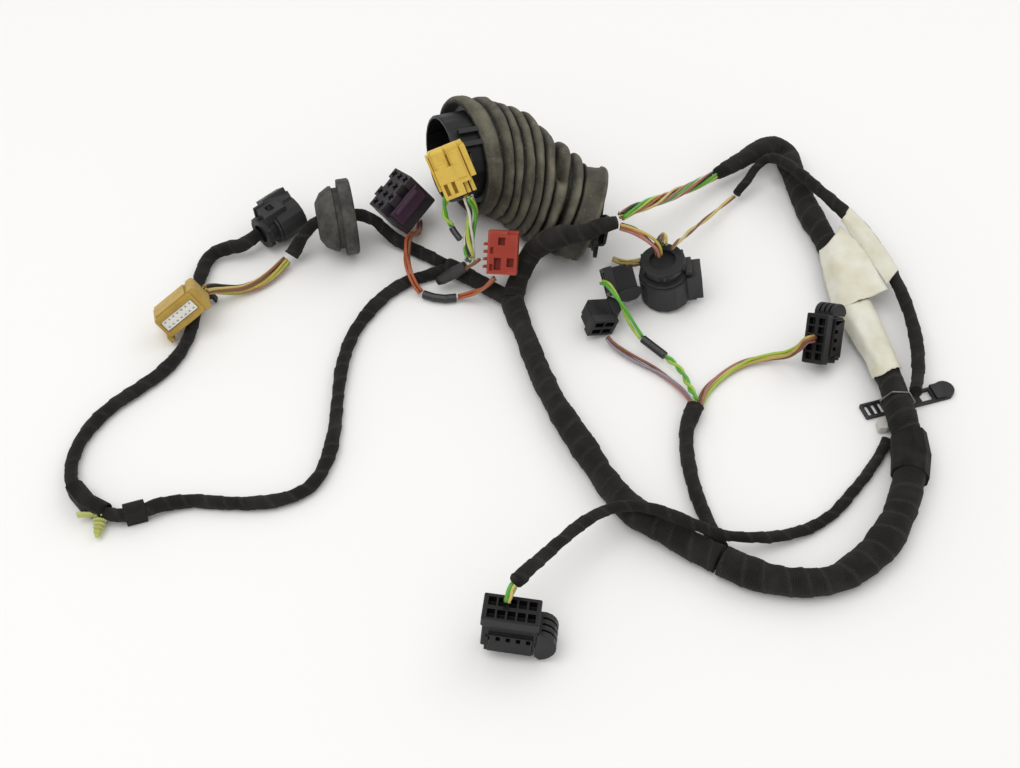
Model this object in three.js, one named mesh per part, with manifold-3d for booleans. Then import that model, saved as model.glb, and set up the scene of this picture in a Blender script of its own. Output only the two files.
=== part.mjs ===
// Car door wiring harness with its rubber bellows, laid out flat.
// Units are millimetres, +Z is up and the harness lies on the plane z = 0.
// Its origin is the centre of its footprint, +X runs from the door loop to the labelled trunk.

import * as THREE from 'three';
import { mergeVertices } from 'three/addons/utils/BufferGeometryUtils.js';
import Module from 'manifold-3d';

const wasm = await Module();
wasm.setup();

// Driving dimensions, clearances
const gap = 0.3;
const rest = 0.2;

// Driving dimension: moves the middle of the footprint onto the origin
const centring = { x: -0.8, y: 3.3 };

// Driving dimensions, taped runs and wires
const tapeSides = 10;
const branchSides = 8;
const wireSides = 8;
const tapeStep = 14;
const wireStep = 11;
const trunkRadius = 6.5;
const branchRadius = 3.2;
const moduleBranchRadius = 2.6;
const labelThickness = 0.4;

// Driving dimensions, rubber bellows
const bellowsRings = 7;
const bellowsPitch = 7.4;
const bellowsDepth = 3.4;
const bellowsWall = 2;
const mouthRadius = 34;
const footRadius = 27.5;
const cuffRadius = 23.5;
const cuffLength = 13;
const lipLength = 9;
const bellowsSides = 24;
const plugSides = 16;

// Driving dimensions, coupling frame in the mouth of the bellows
const couplingRadius = 25;
const couplingWall = 1.8;
const couplingReach = 16;
const couplingDepth = 8;
const couplingFlange = 2.4;
const couplingSeat = 1.6;
const socketPlay = 0.9;

// Driving dimensions, round plugs
const smallBarrelRadius = 10.4;
const smallBarrelLength = 15;
const largeBarrelRadius = 13;
const largeBarrelLength = 17;
const barrelWall = 1.5;

// Driving dimensions, flat plugs: width, thickness and length
const yellowPlug = { width: 20.5, thickness: 12, length: 26.5 };
const blackPlug = { width: 24, thickness: 18, length: 21 };
const redPlug = { width: 16, thickness: 12, length: 23 };
const pinPlug = { width: 23, thickness: 12.5, length: 13.5 };
const modulePlug = { width: 23, thickness: 13, length: 21 };
const mirrorPlug = { width: 23, thickness: 11, length: 15 };
const switchPlug = { width: 13, thickness: 10, length: 15 };

// Driving dimensions, grommet and small fasteners
const grommetRadius = 20.3;
const grommetNeck = 16.2;
const grommetDome = 17.4;
const tieWidth = 4.2;
const tieThickness = 1.2;
const strapThickness = 1.6;
const strapWidth = 9;
const tieWireRadius = 0.55;

// Materials

function plastic(color, roughness = 0.55) {
  return new THREE.MeshStandardMaterial({ color, roughness, metalness: 0 });
}

const clothTape = plastic('#2b2926', 0.95);
const bellowsRubber = plastic('#565148', 0.85);
const grommetRubber = plastic('#45433e', 0.85);
const blackNylon = plastic('#1f1f22', 0.5);
const charcoalNylon = plastic('#3b3b3d', 0.6);
const violetNylon = plastic('#2e282c', 0.55);
const purpleNylon = plastic('#4a3346', 0.55);
const yellowNylon = plastic('#dcb932', 0.5);
const mustardNylon = plastic('#c9a94a', 0.5);
const redNylon = plastic('#b5402c', 0.5);
const whiteNylon = plastic('#e6e5de', 0.5);
const clipNylon = plastic('#c5c978', 0.5);
const labelFilm = plastic('#dcd8c4', 0.7);
const softWhite = plastic('#cfcdc6', 0.8);
const shrinkSleeve = plastic('#26262a', 0.4);
const galvanisedWire = new THREE.MeshStandardMaterial({ color: '#8d8c88', roughness: 0.45, metalness: 0.9 });
const greenWire = plastic('#5fb536', 0.45);
const tanWire = plastic('#b9a557', 0.45);
const brownWire = plastic('#8a5a3c', 0.45);
const orangeWire = plastic('#b5673f', 0.45);
const greyWire = plastic('#8d8593', 0.45);
const paleWire = plastic('#c9c6a0', 0.45);

// Solids: closed shapes from the geometry classes, joined and cut

function toSolid(geometry) {
  const bare = geometry.clone();
  bare.deleteAttribute('normal');
  bare.deleteAttribute('uv');
  const merged = mergeVertices(bare, 1e-4);
  const vertProperties = new Float32Array(merged.attributes.position.array);
  const triVerts = new Uint32Array(merged.index.array);
  return new wasm.Manifold(new wasm.Mesh({ numProp: 3, vertProperties, triVerts }));
}

function toGeometry(solid) {
  const mesh = solid.getMesh();
  const geometry = new THREE.BufferGeometry();
  geometry.setAttribute('position', new THREE.BufferAttribute(new Float32Array(mesh.vertProperties), 3));
  geometry.setIndex(new THREE.BufferAttribute(new Uint32Array(mesh.triVerts), 1));
  geometry.computeVertexNormals();
  return geometry;
}

function join(first, ...others) {
  let solid = toSolid(first);
  for (const other of others) {
    solid = solid.add(toSolid(other));
  }
  return toGeometry(solid);
}

function cut(first, ...tools) {
  let solid = toSolid(first);
  for (const tool of tools) {
    solid = solid.subtract(toSolid(tool));
  }
  return toGeometry(solid);
}

function block(width, depth, height, x = 0, y = 0, z = 0) {
  return new THREE.BoxGeometry(width, depth, height).translate(x, y, z);
}

function rod(radius, length, sides = 16) {
  return new THREE.CylinderGeometry(radius, radius, length, sides).rotateX(Math.PI / 2);
}

function prism(outline, depth, curveSegments = 6) {
  return new THREE.ExtrudeGeometry(outline, { depth, bevelEnabled: false, steps: 1, curveSegments });
}

function roundedRectangle(width, height, radius) {
  const x = width / 2;
  const y = height / 2;
  const outline = new THREE.Shape();
  outline.moveTo(-x + radius, -y);
  outline.lineTo(x - radius, -y);
  outline.absarc(x - radius, -y + radius, radius, -Math.PI / 2, 0);
  outline.lineTo(x, y - radius);
  outline.absarc(x - radius, y - radius, radius, 0, Math.PI / 2);
  outline.lineTo(-x + radius, y);
  outline.absarc(-x + radius, y - radius, radius, Math.PI / 2, Math.PI);
  outline.lineTo(-x, -y + radius);
  outline.absarc(-x + radius, -y + radius, radius, Math.PI, 1.5 * Math.PI);
  return outline;
}

// A casing with rounded corners, its length along z and centred
function casing(width, thickness, length, radius = 1) {
  return prism(roundedRectangle(width, thickness, radius), length, 1).translate(0, 0, -length / 2);
}

// A revolved shape about z, from [radius, height] pairs that start and end on the axis
function revolve(profile, sides) {
  const points = profile.map(([radius, height]) => new THREE.Vector2(radius, height));
  return new THREE.LatheGeometry(points, sides).rotateX(Math.PI / 2);
}

// A revolved ring about z: its profile closes on itself
function revolveRing(profile, sides) {
  return revolve([...profile, profile[0]], sides);
}

// Turns every face outward where a profile ran the other way round
function facingOut(geometry) {
  const bare = geometry.clone();
  bare.deleteAttribute('normal');
  bare.deleteAttribute('uv');
  const merged = mergeVertices(bare, 1e-4);
  const place = merged.attributes.position;
  const corners = merged.index.array;
  const a = new THREE.Vector3();
  const b = new THREE.Vector3();
  const c = new THREE.Vector3();
  let volume = 0;
  for (let i = 0; i < corners.length; i += 3) {
    a.fromBufferAttribute(place, corners[i]);
    b.fromBufferAttribute(place, corners[i + 1]);
    c.fromBufferAttribute(place, corners[i + 2]);
    volume += a.dot(b.cross(c));
  }
  if (volume < 0) {
    for (let i = 0; i < corners.length; i += 3) {
      [corners[i], corners[i + 1]] = [corners[i + 1], corners[i]];
    }
  }
  merged.computeVertexNormals();
  return merged;
}

// Runs: a route is a list of [x, y, height of the underside, radius]

function centreLine(route) {
  const points = route.map(([x, y, lift, radius]) => new THREE.Vector3(x, y, lift + radius));
  return new THREE.CatmullRomCurve3(points, false, 'centripetal');
}

function radiusAlong(route) {
  const points = route.map(([x, y, , radius]) => new THREE.Vector3(x, y, radius));
  const flat = route.map(([x, y, lift, radius]) => new THREE.Vector3(x, y, lift + radius));
  const reach = [0];
  for (let i = 1; i < flat.length; i += 1) {
    reach.push(reach[i - 1] + flat[i].distanceTo(flat[i - 1]));
  }
  const total = reach[reach.length - 1];
  return (share) => {
    const wanted = share * total;
    let i = 1;
    while (i < reach.length - 1 && reach[i] < wanted) {
      i += 1;
    }
    const part = (wanted - reach[i - 1]) / (reach[i] - reach[i - 1]);
    return THREE.MathUtils.lerp(points[i - 1].z, points[i].z, part);
  };
}

// Bends a shape built along +z onto a curve: x goes to the left of the run and y upward
function bendAlong(geometry, curve, length, headingAt = (share) => curve.getTangentAt(share)) {
  const place = geometry.attributes.position;
  const skyward = new THREE.Vector3(0, 0, 1);
  for (let i = 0; i < place.count; i += 1) {
    const share = THREE.MathUtils.clamp(place.getZ(i) / length, 0, 1);
    const heading = headingAt(share).normalize();
    const left = skyward.clone().cross(heading).normalize();
    const upward = heading.clone().cross(left);
    const point = curve.getPointAt(share);
    point.addScaledVector(left, place.getX(i));
    point.addScaledVector(upward, place.getY(i));
    place.setXYZ(i, point.x, point.y, point.z);
  }
  return geometry;
}

// A run wrapped in cloth tape: its girth follows the route's radius
function wrappedRun(route, sides = branchSides, extra = 0) {
  const curve = centreLine(route);
  const length = curve.getLength();
  const radiusAt = radiusAlong(route);
  const steps = Math.max(3, Math.round(length / tapeStep));
  const profile = [[0, 0]];
  for (let i = 0; i <= steps; i += 1) {
    profile.push([radiusAt(i / steps) + extra, (i / steps) * length]);
  }
  profile.push([0, length]);
  return facingOut(bendAlong(revolve(profile, sides), curve, length));
}

// A bundle of loose wires: one even round tube along its route
function wireRun(points, radius) {
  const curve = new THREE.CatmullRomCurve3(points.map((p) => new THREE.Vector3(...p)), false, 'centripetal');
  const steps = Math.max(3, Math.round(curve.getLength() / wireStep));
  const section = new THREE.Shape().absarc(0, 0, radius, 0, 2 * Math.PI);
  const options = { steps, extrudePath: curve, bevelEnabled: false, curveSegments: wireSides / 2 };
  return facingOut(new THREE.ExtrudeGeometry(section, options));
}

const harness = new THREE.Group();

function add(name, geometry, material, parent = harness) {
  const mesh = new THREE.Mesh(geometry, material);
  mesh.name = name;
  parent.add(mesh);
  return mesh;
}

// A plug's own frame: z is the way it mates, x its width, and wires leave at -z
function plugFrame(at, mates, wide) {
  const frame = new THREE.Group();
  const z = new THREE.Vector3(...mates).normalize();
  const y = z.clone().cross(new THREE.Vector3(...wide)).normalize();
  const x = y.clone().cross(z);
  frame.quaternion.setFromRotationMatrix(new THREE.Matrix4().makeBasis(x, y, z));
  frame.position.set(...at);
  harness.add(frame);
  return frame;
}

// Routes of the taped runs, chosen by hand

const upperTrunkRoute = [
  [110, 131, 7, 3.3],
  [124, 140, 7, 4.8],
  [136, 149, 6, 6],
  [145, 154, 4, 6.2],
  [151, 151, 1.5, 6.2],
  [153, 141, rest, 6.3],
  [155, 126, rest, 6.3],
  [158, 107, rest, 6.4],
  [163, 87, rest, trunkRadius],
  [168, 65, rest, trunkRadius],
  [172, 41, rest, trunkRadius],
  [176, 19, 0.8, trunkRadius],
  [179, -3, 2, trunkRadius],
  [181.5, -23, 2.4, trunkRadius],
  [183, -41, 2, 6.8],
  [184, -54, 0.8, 7],
];

const lowerTrunkRoute = [
  [183.6, -60, 0.6, 7.2],
  [182, -70, rest, 7.4],
  [178, -82, rest, 7.6],
  [171, -97, rest, 7.6],
  [161, -112, rest, 7.4],
  [150, -122, rest, 7.1],
  [138, -129, rest, 6.8],
  [123, -131, rest, 6.4],
  [109, -129, rest, 6.6],
  [97, -124, rest, 7.2],
  [90, -119.5, rest, 7.2],
];

const middleTrunkRoute = [
  [88.5, -118.5, rest, 6.4],
  [76, -111, rest, 6.4],
  [63, -102, rest, 6.6],
  [51, -92, rest, 7],
  [43, -80, rest, 6.4],
  [34, -63, rest, 6.2],
  [24, -43, rest, 6],
  [16, -24, rest, 5.8],
  [9, -4, rest, 5.6],
  [3, 17, rest, 5.4],
  [-1, 31, rest, 5.6],
  [-3, 41, rest, 5.8],
];

const outletRoute = [
  [-3, 38, 0.4, 5.6],
  [-0.5, 48, 2.4, 5.5],
  [3.5, 57.5, 7, 5.6],
  [7.5, 62, 12.4, 5.6],
  [12, 61.5, 18.2, 5.8],
  [18, 60, 24.3, 5.6],
  [25, 57.8, 29.3, 5.1],
  [33, 56.7, 32, 4.6],
  [42, 59.3, 35, 4.1],
  [50, 61.5, 36, 3.5],
];

const stemRoute = [
  [-3, 40, 0.6, 4.8],
  [-12, 46, 1.6, 4.4],
  [-21, 53, 1.6, 4.2],
  [-30, 60, 1, 4.2],
  [-37, 65, 0.6, 4.4],
];

const grommetBranchRoute = [
  [-38.5, 67.5, 0.6, branchRadius],
  [-48, 74, 0.6, branchRadius],
  [-58, 80.5, 0.8, branchRadius],
  [-68, 86, 4, branchRadius],
  [-76, 88.5, 12, branchRadius],
  [-84, 87.2, grommetRadius + rest - branchRadius, branchRadius],
  [-93.6, 85, grommetRadius + rest - branchRadius, branchRadius],
  [-105, 82.4, grommetRadius + rest - branchRadius, branchRadius],
  [-112, 79, 12, 3.4],
  [-116.5, 75, 6, 3.6],
  [-119.5, 71.5, 2.5, 3.8],
];

const doorLoopRoute = [
  [-38.5, 64, rest, branchRadius],
  [-46, 60, rest, branchRadius],
  [-56, 56, rest, branchRadius],
  [-66, 48, rest, branchRadius],
  [-75, 36, rest, branchRadius],
  [-83, 19, rest, branchRadius],
  [-87, -1, rest, branchRadius],
  [-88, -23, rest, branchRadius],
  [-88, -44, rest, branchRadius],
  [-90, -62, rest, branchRadius],
  [-96, -76, rest, branchRadius],
  [-106, -83, rest, branchRadius],
  [-120, -86, rest, branchRadius],
  [-135, -86, rest, branchRadius],
  [-149, -85, rest, branchRadius],
  [-161, -87, 1, branchRadius],
  [-170, -91, 2, branchRadius],
  [-179, -94, 2, branchRadius],
  [-188, -93, 2, branchRadius],
  [-197, -88, 2, branchRadius],
  [-205, -79, 2, branchRadius],
  [-209, -67, 0.8, branchRadius],
  [-208.5, -53, rest, branchRadius],
  [-204, -40, rest, branchRadius],
  [-196, -28, rest, branchRadius],
  [-185, -17, rest, branchRadius],
  [-176, -7, rest, branchRadius],
  [-169, 6, rest, branchRadius],
  [-165.5, 22, 0.4, branchRadius],
  [-165.6, 40, 1.6, branchRadius],
  [-166, 58, 1, 3.4],
  [-162, 73, 1.4, 3.6],
  [-153.5, 76.4, 3.4, 3.6],
  [-145.5, 76.6, 5.6, 3.6],
  [-137.6, 83.4, 7.1, 3.6],
];

const switchBranchRoute = [
  [90, -113, 2, 3.6],
  [87.5, -104, 0.8, 3.5],
  [85, -94, rest, 3.4],
  [82, -82, rest, 3.4],
  [80, -68, rest, 3.4],
  [79.5, -54, rest, 3.5],
  [81, -42, rest, 3.8],
  [85.5, -30.5, 1, 4.4],
];

const moduleBranchRoute = [
  [175, -50, 1, moduleBranchRadius],
  [169, -60, rest, moduleBranchRadius],
  [162, -70, rest, moduleBranchRadius],
  [153, -81, rest, moduleBranchRadius],
  [143, -92, rest, moduleBranchRadius],
  [131, -100, 0.6, moduleBranchRadius],
  [116, -106, 3.4, moduleBranchRadius],
  [103, -109, 7, moduleBranchRadius],
  [90, -110, 10.4, moduleBranchRadius],
  [79, -107, 13, moduleBranchRadius],
  [69, -103, 14.6, moduleBranchRadius],
  [58, -99, 15.2, moduleBranchRadius],
  [47, -98, 15.4, moduleBranchRadius],
  [38, -101, 16, moduleBranchRadius],
  [30, -107, 17.4, 2.7],
  [21, -117, 20, 2.9],
  [12, -128, 23, 3],
  [4, -138, 26, 3.1],
  [-1.5, -145, 27.5, 3.2],
];

const sideBranchRoute = [
  [191, -27, 9, 3.2],
  [196, -10, 6.5, 3.2],
  [199, 14, 5, 3.2],
  [197.5, 42, 5, 3.3],
  [191, 64, 8, 3.3],
  [183, 80, 12, 3.3],
  [174, 94, 13.4, 3.3],
  [163, 110, 14.4, 3.3],
  [154, 122, 15.4, 3.2],
  [146, 131, 16, 3],
  [139.5, 136, 15, 2.6],
  [133.5, 134, 12, 2.4],
  [127, 126.5, 7.5, 2.3],
  [120.5, 119, 4.4, 2.3],
];

// Taped runs: each later run is trimmed where it lies against an earlier one

function clearOf(run, ...routes) {
  return cut(run, ...routes.map((route) => wrappedRun(route, tapeSides, gap)));
}

function tapedRuns() {
  add('trunk_upper', wrappedRun(upperTrunkRoute, tapeSides), clothTape);
  add('trunk_lower', wrappedRun(lowerTrunkRoute, tapeSides), clothTape);
  const front = join(
    wrappedRun(middleTrunkRoute, tapeSides),
    wrappedRun(outletRoute, tapeSides),
    wrappedRun(stemRoute, tapeSides),
  );
  add('trunk_front', front, clothTape);
  add('branch_grommet', clearOf(wrappedRun(grommetBranchRoute), stemRoute), clothTape);
  add('branch_door_loop', clearOf(wrappedRun(doorLoopRoute), stemRoute, grommetBranchRoute), clothTape);
  add('branch_switches', clearOf(wrappedRun(switchBranchRoute), lowerTrunkRoute, middleTrunkRoute), clothTape);
  add('branch_module', clearOf(wrappedRun(moduleBranchRoute), upperTrunkRoute, lowerTrunkRoute), clothTape);
  add('branch_side', clearOf(wrappedRun(sideBranchRoute), upperTrunkRoute), clothTape);
}

// The loose torn band of tape round the step below the strap
function tornBand() {
  const route = [...upperTrunkRoute.slice(-2), ...lowerTrunkRoute.slice(0, 3)];
  const curve = centreLine(route);
  const start = 10;
  const end = 34;
  const thickness = 1.4;
  const outer = Math.max(...route.map(([, , , radius]) => radius)) + gap + thickness;
  const sleeve = facingOut(revolve([
    [0, start],
    [outer - 0.5, start],
    [outer, (start + end) / 2],
    [outer - 0.4, end],
    [0, end],
  ], tapeSides));
  const bent = bendAlong(sleeve, curve, curve.getLength());
  const floor = block(80, 80, 20, 180, -60, -10);
  return cut(clearOf(bent, upperTrunkRoute, lowerTrunkRoute, moduleBranchRoute), floor);
}

// Rubber bellows: rings on an axis that curves while the rings turn with it

const bellowsAxis = new THREE.CatmullRomCurve3([
  new THREE.Vector3(-24, 117.5, mouthRadius + 3.1),
  new THREE.Vector3(-17, 119.5, mouthRadius + 2.8),
  new THREE.Vector3(-9.5, 116, mouthRadius + 2.1),
  new THREE.Vector3(0, 108, mouthRadius + 1),
  new THREE.Vector3(17, 96, footRadius + 3.4),
  new THREE.Vector3(31, 88.5, footRadius + 0.6),
  new THREE.Vector3(44, 86, cuffRadius + 3),
], false, 'centripetal');
const mouthHeading = new THREE.Vector3(0.916, 0.386, -0.107);
const footHeading = new THREE.Vector3(0.985, -0.12, -0.1);
const bellowsLength = lipLength + bellowsRings * bellowsPitch + cuffLength;

function bellowsHeading(share) {
  return mouthHeading.clone().lerp(footHeading, share);
}

function ringRadius(index) {
  const share = THREE.MathUtils.smoothstep(index, 2, bellowsRings - 1);
  return THREE.MathUtils.lerp(mouthRadius, footRadius, share);
}

function bellows() {
  const outer = [];
  const inner = [];
  outer.push([mouthRadius - 3, 0]);
  outer.push([mouthRadius - 0.8, 0.6]);
  outer.push([mouthRadius, 3]);
  outer.push([mouthRadius - 0.6, 6.5]);
  outer.push([mouthRadius - bellowsDepth, lipLength]);
  inner.push([mouthRadius - 3.4, 1]);
  inner.push([mouthRadius - bellowsDepth - bellowsWall, lipLength]);
  for (let index = 0; index < bellowsRings; index += 1) {
    const start = lipLength + index * bellowsPitch;
    const crest = ringRadius(index);
    const valley = (index === bellowsRings - 1 ? cuffRadius : ringRadius(index + 1) - bellowsDepth);
    for (const share of [0.25, 0.75]) {
      outer.push([crest, start + share * bellowsPitch]);
    }
    outer.push([valley, start + bellowsPitch]);
    inner.push([crest - bellowsWall - 0.6, start + 0.5 * bellowsPitch]);
    inner.push([valley - bellowsWall, start + bellowsPitch]);
  }
  const cuffStart = lipLength + bellowsRings * bellowsPitch;
  outer.push([cuffRadius + 1.2, cuffStart + 2]);
  outer.push([cuffRadius + 1.2, bellowsLength - 1]);
  outer.push([cuffRadius, bellowsLength]);
  inner.push([cuffRadius - bellowsWall, bellowsLength]);
  const ring = revolveRing([...outer, ...inner.reverse()], bellowsSides);
  return facingOut(bendAlong(ring, bellowsAxis, bellowsLength, bellowsHeading));
}

// Coupling frame: a plastic socket whose flange sits inside the bellows' mouth
function couplingFrame() {
  const flangeRadius = mouthRadius - bellowsDepth - bellowsWall - gap;
  const bore = couplingRadius - couplingWall;
  const shell = facingOut(revolveRing([
    [bore, -couplingReach],
    [couplingRadius - 0.5, -couplingReach],
    [couplingRadius, -couplingReach + 1],
    [couplingRadius, couplingSeat],
    [flangeRadius, couplingSeat],
    [flangeRadius, couplingSeat + couplingFlange],
    [couplingRadius, couplingSeat + couplingFlange],
    [couplingRadius - 0.6, couplingDepth],
    [bore, couplingDepth],
  ], bellowsSides));
  const guides = [];
  for (const side of [-1, 1]) {
    guides.push(block(3, 3.4, 12, side * 4, couplingRadius + 0.9, -5));
  }
  const partition = block(2 * bore + couplingWall, 1.6, 12, 0, -7, 1);
  const key = block(1.6, 7, 12, 8, bore - 3, -6);
  const window = block(9, 8, 5, -12, couplingRadius - 4, -9);
  const drain = block(10, 8, 7, 0, -couplingRadius, -6);
  const frame = join(shell, ...guides, partition, key);
  return cut(frame, window, drain);
}

function placeCoupling() {
  const frame = new THREE.Group();
  const heading = mouthHeading.clone().normalize();
  const left = new THREE.Vector3(0, 0, 1).cross(heading).normalize();
  const upward = heading.clone().cross(left);
  frame.quaternion.setFromRotationMatrix(new THREE.Matrix4().makeBasis(left, upward, heading));
  frame.position.copy(bellowsAxis.getPointAt(0));
  harness.add(frame);
  add('coupling_frame', couplingFrame().rotateZ(0.5), blackNylon, frame);
}

// End socket in the cuff, with a bail at the side and a latch loop below
function endSocket() {
  const outer = cuffRadius - bellowsWall - socketPlay;
  const shell = facingOut(revolveRing([
    [outer - 2, -5],
    [outer, -5],
    [outer, gap],
    [outer + 1.6, gap],
    [outer + 1.6, 3],
    [outer - 2, 3],
  ], bellowsSides));
  const bail = new THREE.Shape(roundedRectangle(26, 7, 3.4).getPoints(1));
  bail.holes.push(new THREE.Path(roundedRectangle(21, 3, 1.4).getPoints(1)));
  const loop = new THREE.Shape(roundedRectangle(19, 13, 3).getPoints(2));
  loop.holes.push(new THREE.Path(roundedRectangle(12, 6, 1.5).getPoints(1)));
  const bailSolid = prism(bail, 2.6).rotateX(Math.PI / 2).rotateZ(Math.PI / 2).translate(-outer + 3, 4, 5);
  const loopSolid = prism(loop, 2.4).rotateZ(-0.5).translate(-outer * 0.62, -outer * 0.62, 1.8);
  return join(shell, bailSolid, loopSolid);
}

function placeEndSocket() {
  const frame = new THREE.Group();
  const heading = footHeading.clone().normalize();
  const left = new THREE.Vector3(0, 0, 1).cross(heading).normalize();
  const upward = heading.clone().cross(left);
  frame.quaternion.setFromRotationMatrix(new THREE.Matrix4().makeBasis(left, upward, heading));
  frame.position.copy(bellowsAxis.getPointAt(1));
  harness.add(frame);
  add('bellows_end_socket', endSocket(), blackNylon, frame);
}

// Round plug: a latched barrel over an inner body with a ribbed back ring
function roundPlugBarrel(radius, length) {
  const bore = radius - barrelWall;
  const shell = facingOut(revolveRing([
    [bore, 0],
    [radius - 0.5, 0],
    [radius, 0.6],
    [radius, length - 0.6],
    [radius - 0.4, length],
    [bore, length],
  ], plugSides));
  const latchWidth = radius;
  const latchHeight = 0.45 * radius;
  const latch = block(latchWidth, latchHeight + 2, length, 0, radius + latchHeight / 2 - 1, length / 2);
  const channel = block(latchWidth - 2.6, latchHeight - 1.4, length + 2, 0, radius + latchHeight / 2 + 0.1, length / 2 + 2.6);
  const window = block(3.6, latchHeight, 3.6, 0, radius + latchHeight, length * 0.42);
  const notch = block(latchWidth + 1, latchHeight, 2, 0, radius + latchHeight * 0.9, length);
  const core = rod(bore, length + 2, plugSides).translate(0, 0, length / 2);
  return cut(join(shell, latch), core, channel, window, notch);
}

function roundPlugBody(radius, length) {
  const bodyRadius = radius - barrelWall - gap;
  const neckLength = 0.42 * length;
  const body = facingOut(revolve([
    [0, -neckLength],
    [bodyRadius - 1, -neckLength],
    [bodyRadius - 1, -2.2],
    [radius - 0.8, -1.6],
    [radius - 0.8, -gap],
    [bodyRadius, -gap],
    [bodyRadius, length * 0.4],
    [bodyRadius - 2.2, length * 0.4],
    [bodyRadius - 2.2, length - 2],
    [0, length - 2],
  ], plugSides));
  const ring = facingOut(revolve([
    [0, -neckLength - 2.4],
    [bodyRadius - 0.2, -neckLength - 2.4],
    [bodyRadius + 0.5, -neckLength - 1.4],
    [bodyRadius + 0.5, -neckLength + 0.6],
    [0, -neckLength + 0.6],
  ], plugSides));
  const parts = [];
  const count = 6;
  for (let i = 0; i < count; i += 1) {
    const angle = (i / count) * 2 * Math.PI;
    const tooth = block(1.4, 1, 2, bodyRadius + 0.4, 0, -neckLength - 0.5).rotateZ(angle);
    parts.push(tooth);
  }
  const bore = rod(0.6 * bodyRadius, 5).translate(0, 0, -neckLength - 2.4);
  const tab = block(0.8 * radius, 3.4, 2.6, 0, radius - 0.4, -2.4);
  return cut(join(body, ring, ...parts, tab), bore);
}

function roundPlug(name, radius, length, at, mates, wide) {
  const frame = plugFrame(at, mates, wide);
  add(`${name}_barrel`, roundPlugBarrel(radius, length), charcoalNylon, frame);
  add(`${name}_body`, roundPlugBody(radius, length), charcoalNylon, frame);
}

// Yellow plug: two-part housing with a slotted skirt at the wire end
function yellowPlugHousing() {
  const { width, thickness, length } = yellowPlug;
  const body = casing(width, thickness, length - 9, 1.2).translate(0, 0, 4.5);
  const skirt = casing(width - 4, thickness + 1.4, 11, 0.8).translate(-1, 0, -length / 2 + 5.5);
  const hump = casing(width * 0.42, 4, length - 14, 0.8).translate(-width * 0.2, thickness / 2, 4);
  const shoulder = casing(width * 0.4, 3, length - 12, 0.8).translate(width * 0.2, thickness / 2, 4);
  const seam = block(0.8, 5, length, 0, thickness / 2 + 2, 5);
  const slots = [-4, 2].map((x) => block(1.8, 5, 6, x - 1, thickness / 2 + 1, -length / 2 + 5));
  const cavities = [];
  for (const x of [-6, -2, 2, 6]) {
    for (const y of [-3, 3]) {
      cavities.push(block(2.6, 2.6, 6, x - 1, y, -length / 2));
    }
  }
  const chamfer = block(width + 4, 5, 5, 0, thickness / 2 + 3, length / 2 - 0.5);
  return cut(join(body, skirt, hump, shoulder), seam, ...slots, ...cavities, chamfer);
}

function yellowPlugLock() {
  const { width, thickness, length } = yellowPlug;
  const leg = casing(4, thickness - 2, length - 8, 0.8);
  const foot = block(3, thickness - 5, 9, 0, 0, -length / 2 + 2);
  const slot = block(0.9, thickness, 7, 0.2, 0, -length / 2 + 1);
  return cut(join(leg, foot), slot).translate(width / 2 + 2 + gap, 0, 1);
}

function yellowPlugA() {
  const frame = plugFrame([-30.1, 84.3, 54.4], [-0.375, 0.435, 0.822], [0.93, 0.283, 0.238]);
  add('yellow_plug_housing', yellowPlugHousing().rotateZ(Math.PI), yellowNylon, frame);
  add('yellow_plug_lock', yellowPlugLock(), yellowNylon, frame);
}

// Black plug: star-shaped cavities in stepped towers, with a purple lock plate
function star(size, depth) {
  return join(block(size, size * 0.36, depth), block(size * 0.36, size, depth));
}

function blackPlugHousing() {
  const { width, thickness, length } = blackPlug;
  const towerSize = 6;
  const towerLength = 6;
  const body = casing(width, thickness, length - towerLength, 1).translate(0, 0, -towerLength / 2);
  const towers = [];
  const cavities = [];
  for (let column = 0; column < 4; column += 1) {
    const x = (column - 1.5) * (width / 4);
    const rows = column % 2 === 0 ? [-1, 0, 1] : [-0.5, 0.5];
    const towerDepth = column % 2 === 0 ? thickness : thickness - 5;
    towers.push(block(towerSize, towerDepth, length - 1, x, 0, 0.5));
    for (const row of rows) {
      const y = row * (thickness / 3);
      cavities.push(star(4, 9).rotateZ(0.4).translate(x, y, length / 2));
    }
  }
  const latch = block(7, 3.4, 9, 2, -thickness / 2 - 1.2, -2);
  const latchSlot = block(3, 4, 3, 2, -thickness / 2 - 2.4, -3);
  const entry = casing(width - 5, thickness - 5, 5, 1).translate(0, 0, -length / 2);
  return cut(join(body, ...towers, latch), ...cavities, latchSlot, entry);
}

function blackPlugLock() {
  const { width, thickness, length } = blackPlug;
  const plate = casing(width - 3, 1.8, 9, 0.6);
  const rib = block(width - 8, 1.2, 2, 0, 1.2, 3);
  return join(plate, rib).translate(0, thickness / 2 + 0.9 + gap, length / 2 - 9);
}

function blackPlugAssembly() {
  const frame = plugFrame([-62, 99, 19.5], [-0.575, -0.026, 0.818], [-0.627, -0.632, -0.461]);
  add('black_plug_housing', blackPlugHousing(), violetNylon, frame);
  add('black_plug_lock', blackPlugLock(), purpleNylon, frame);
}

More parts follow.
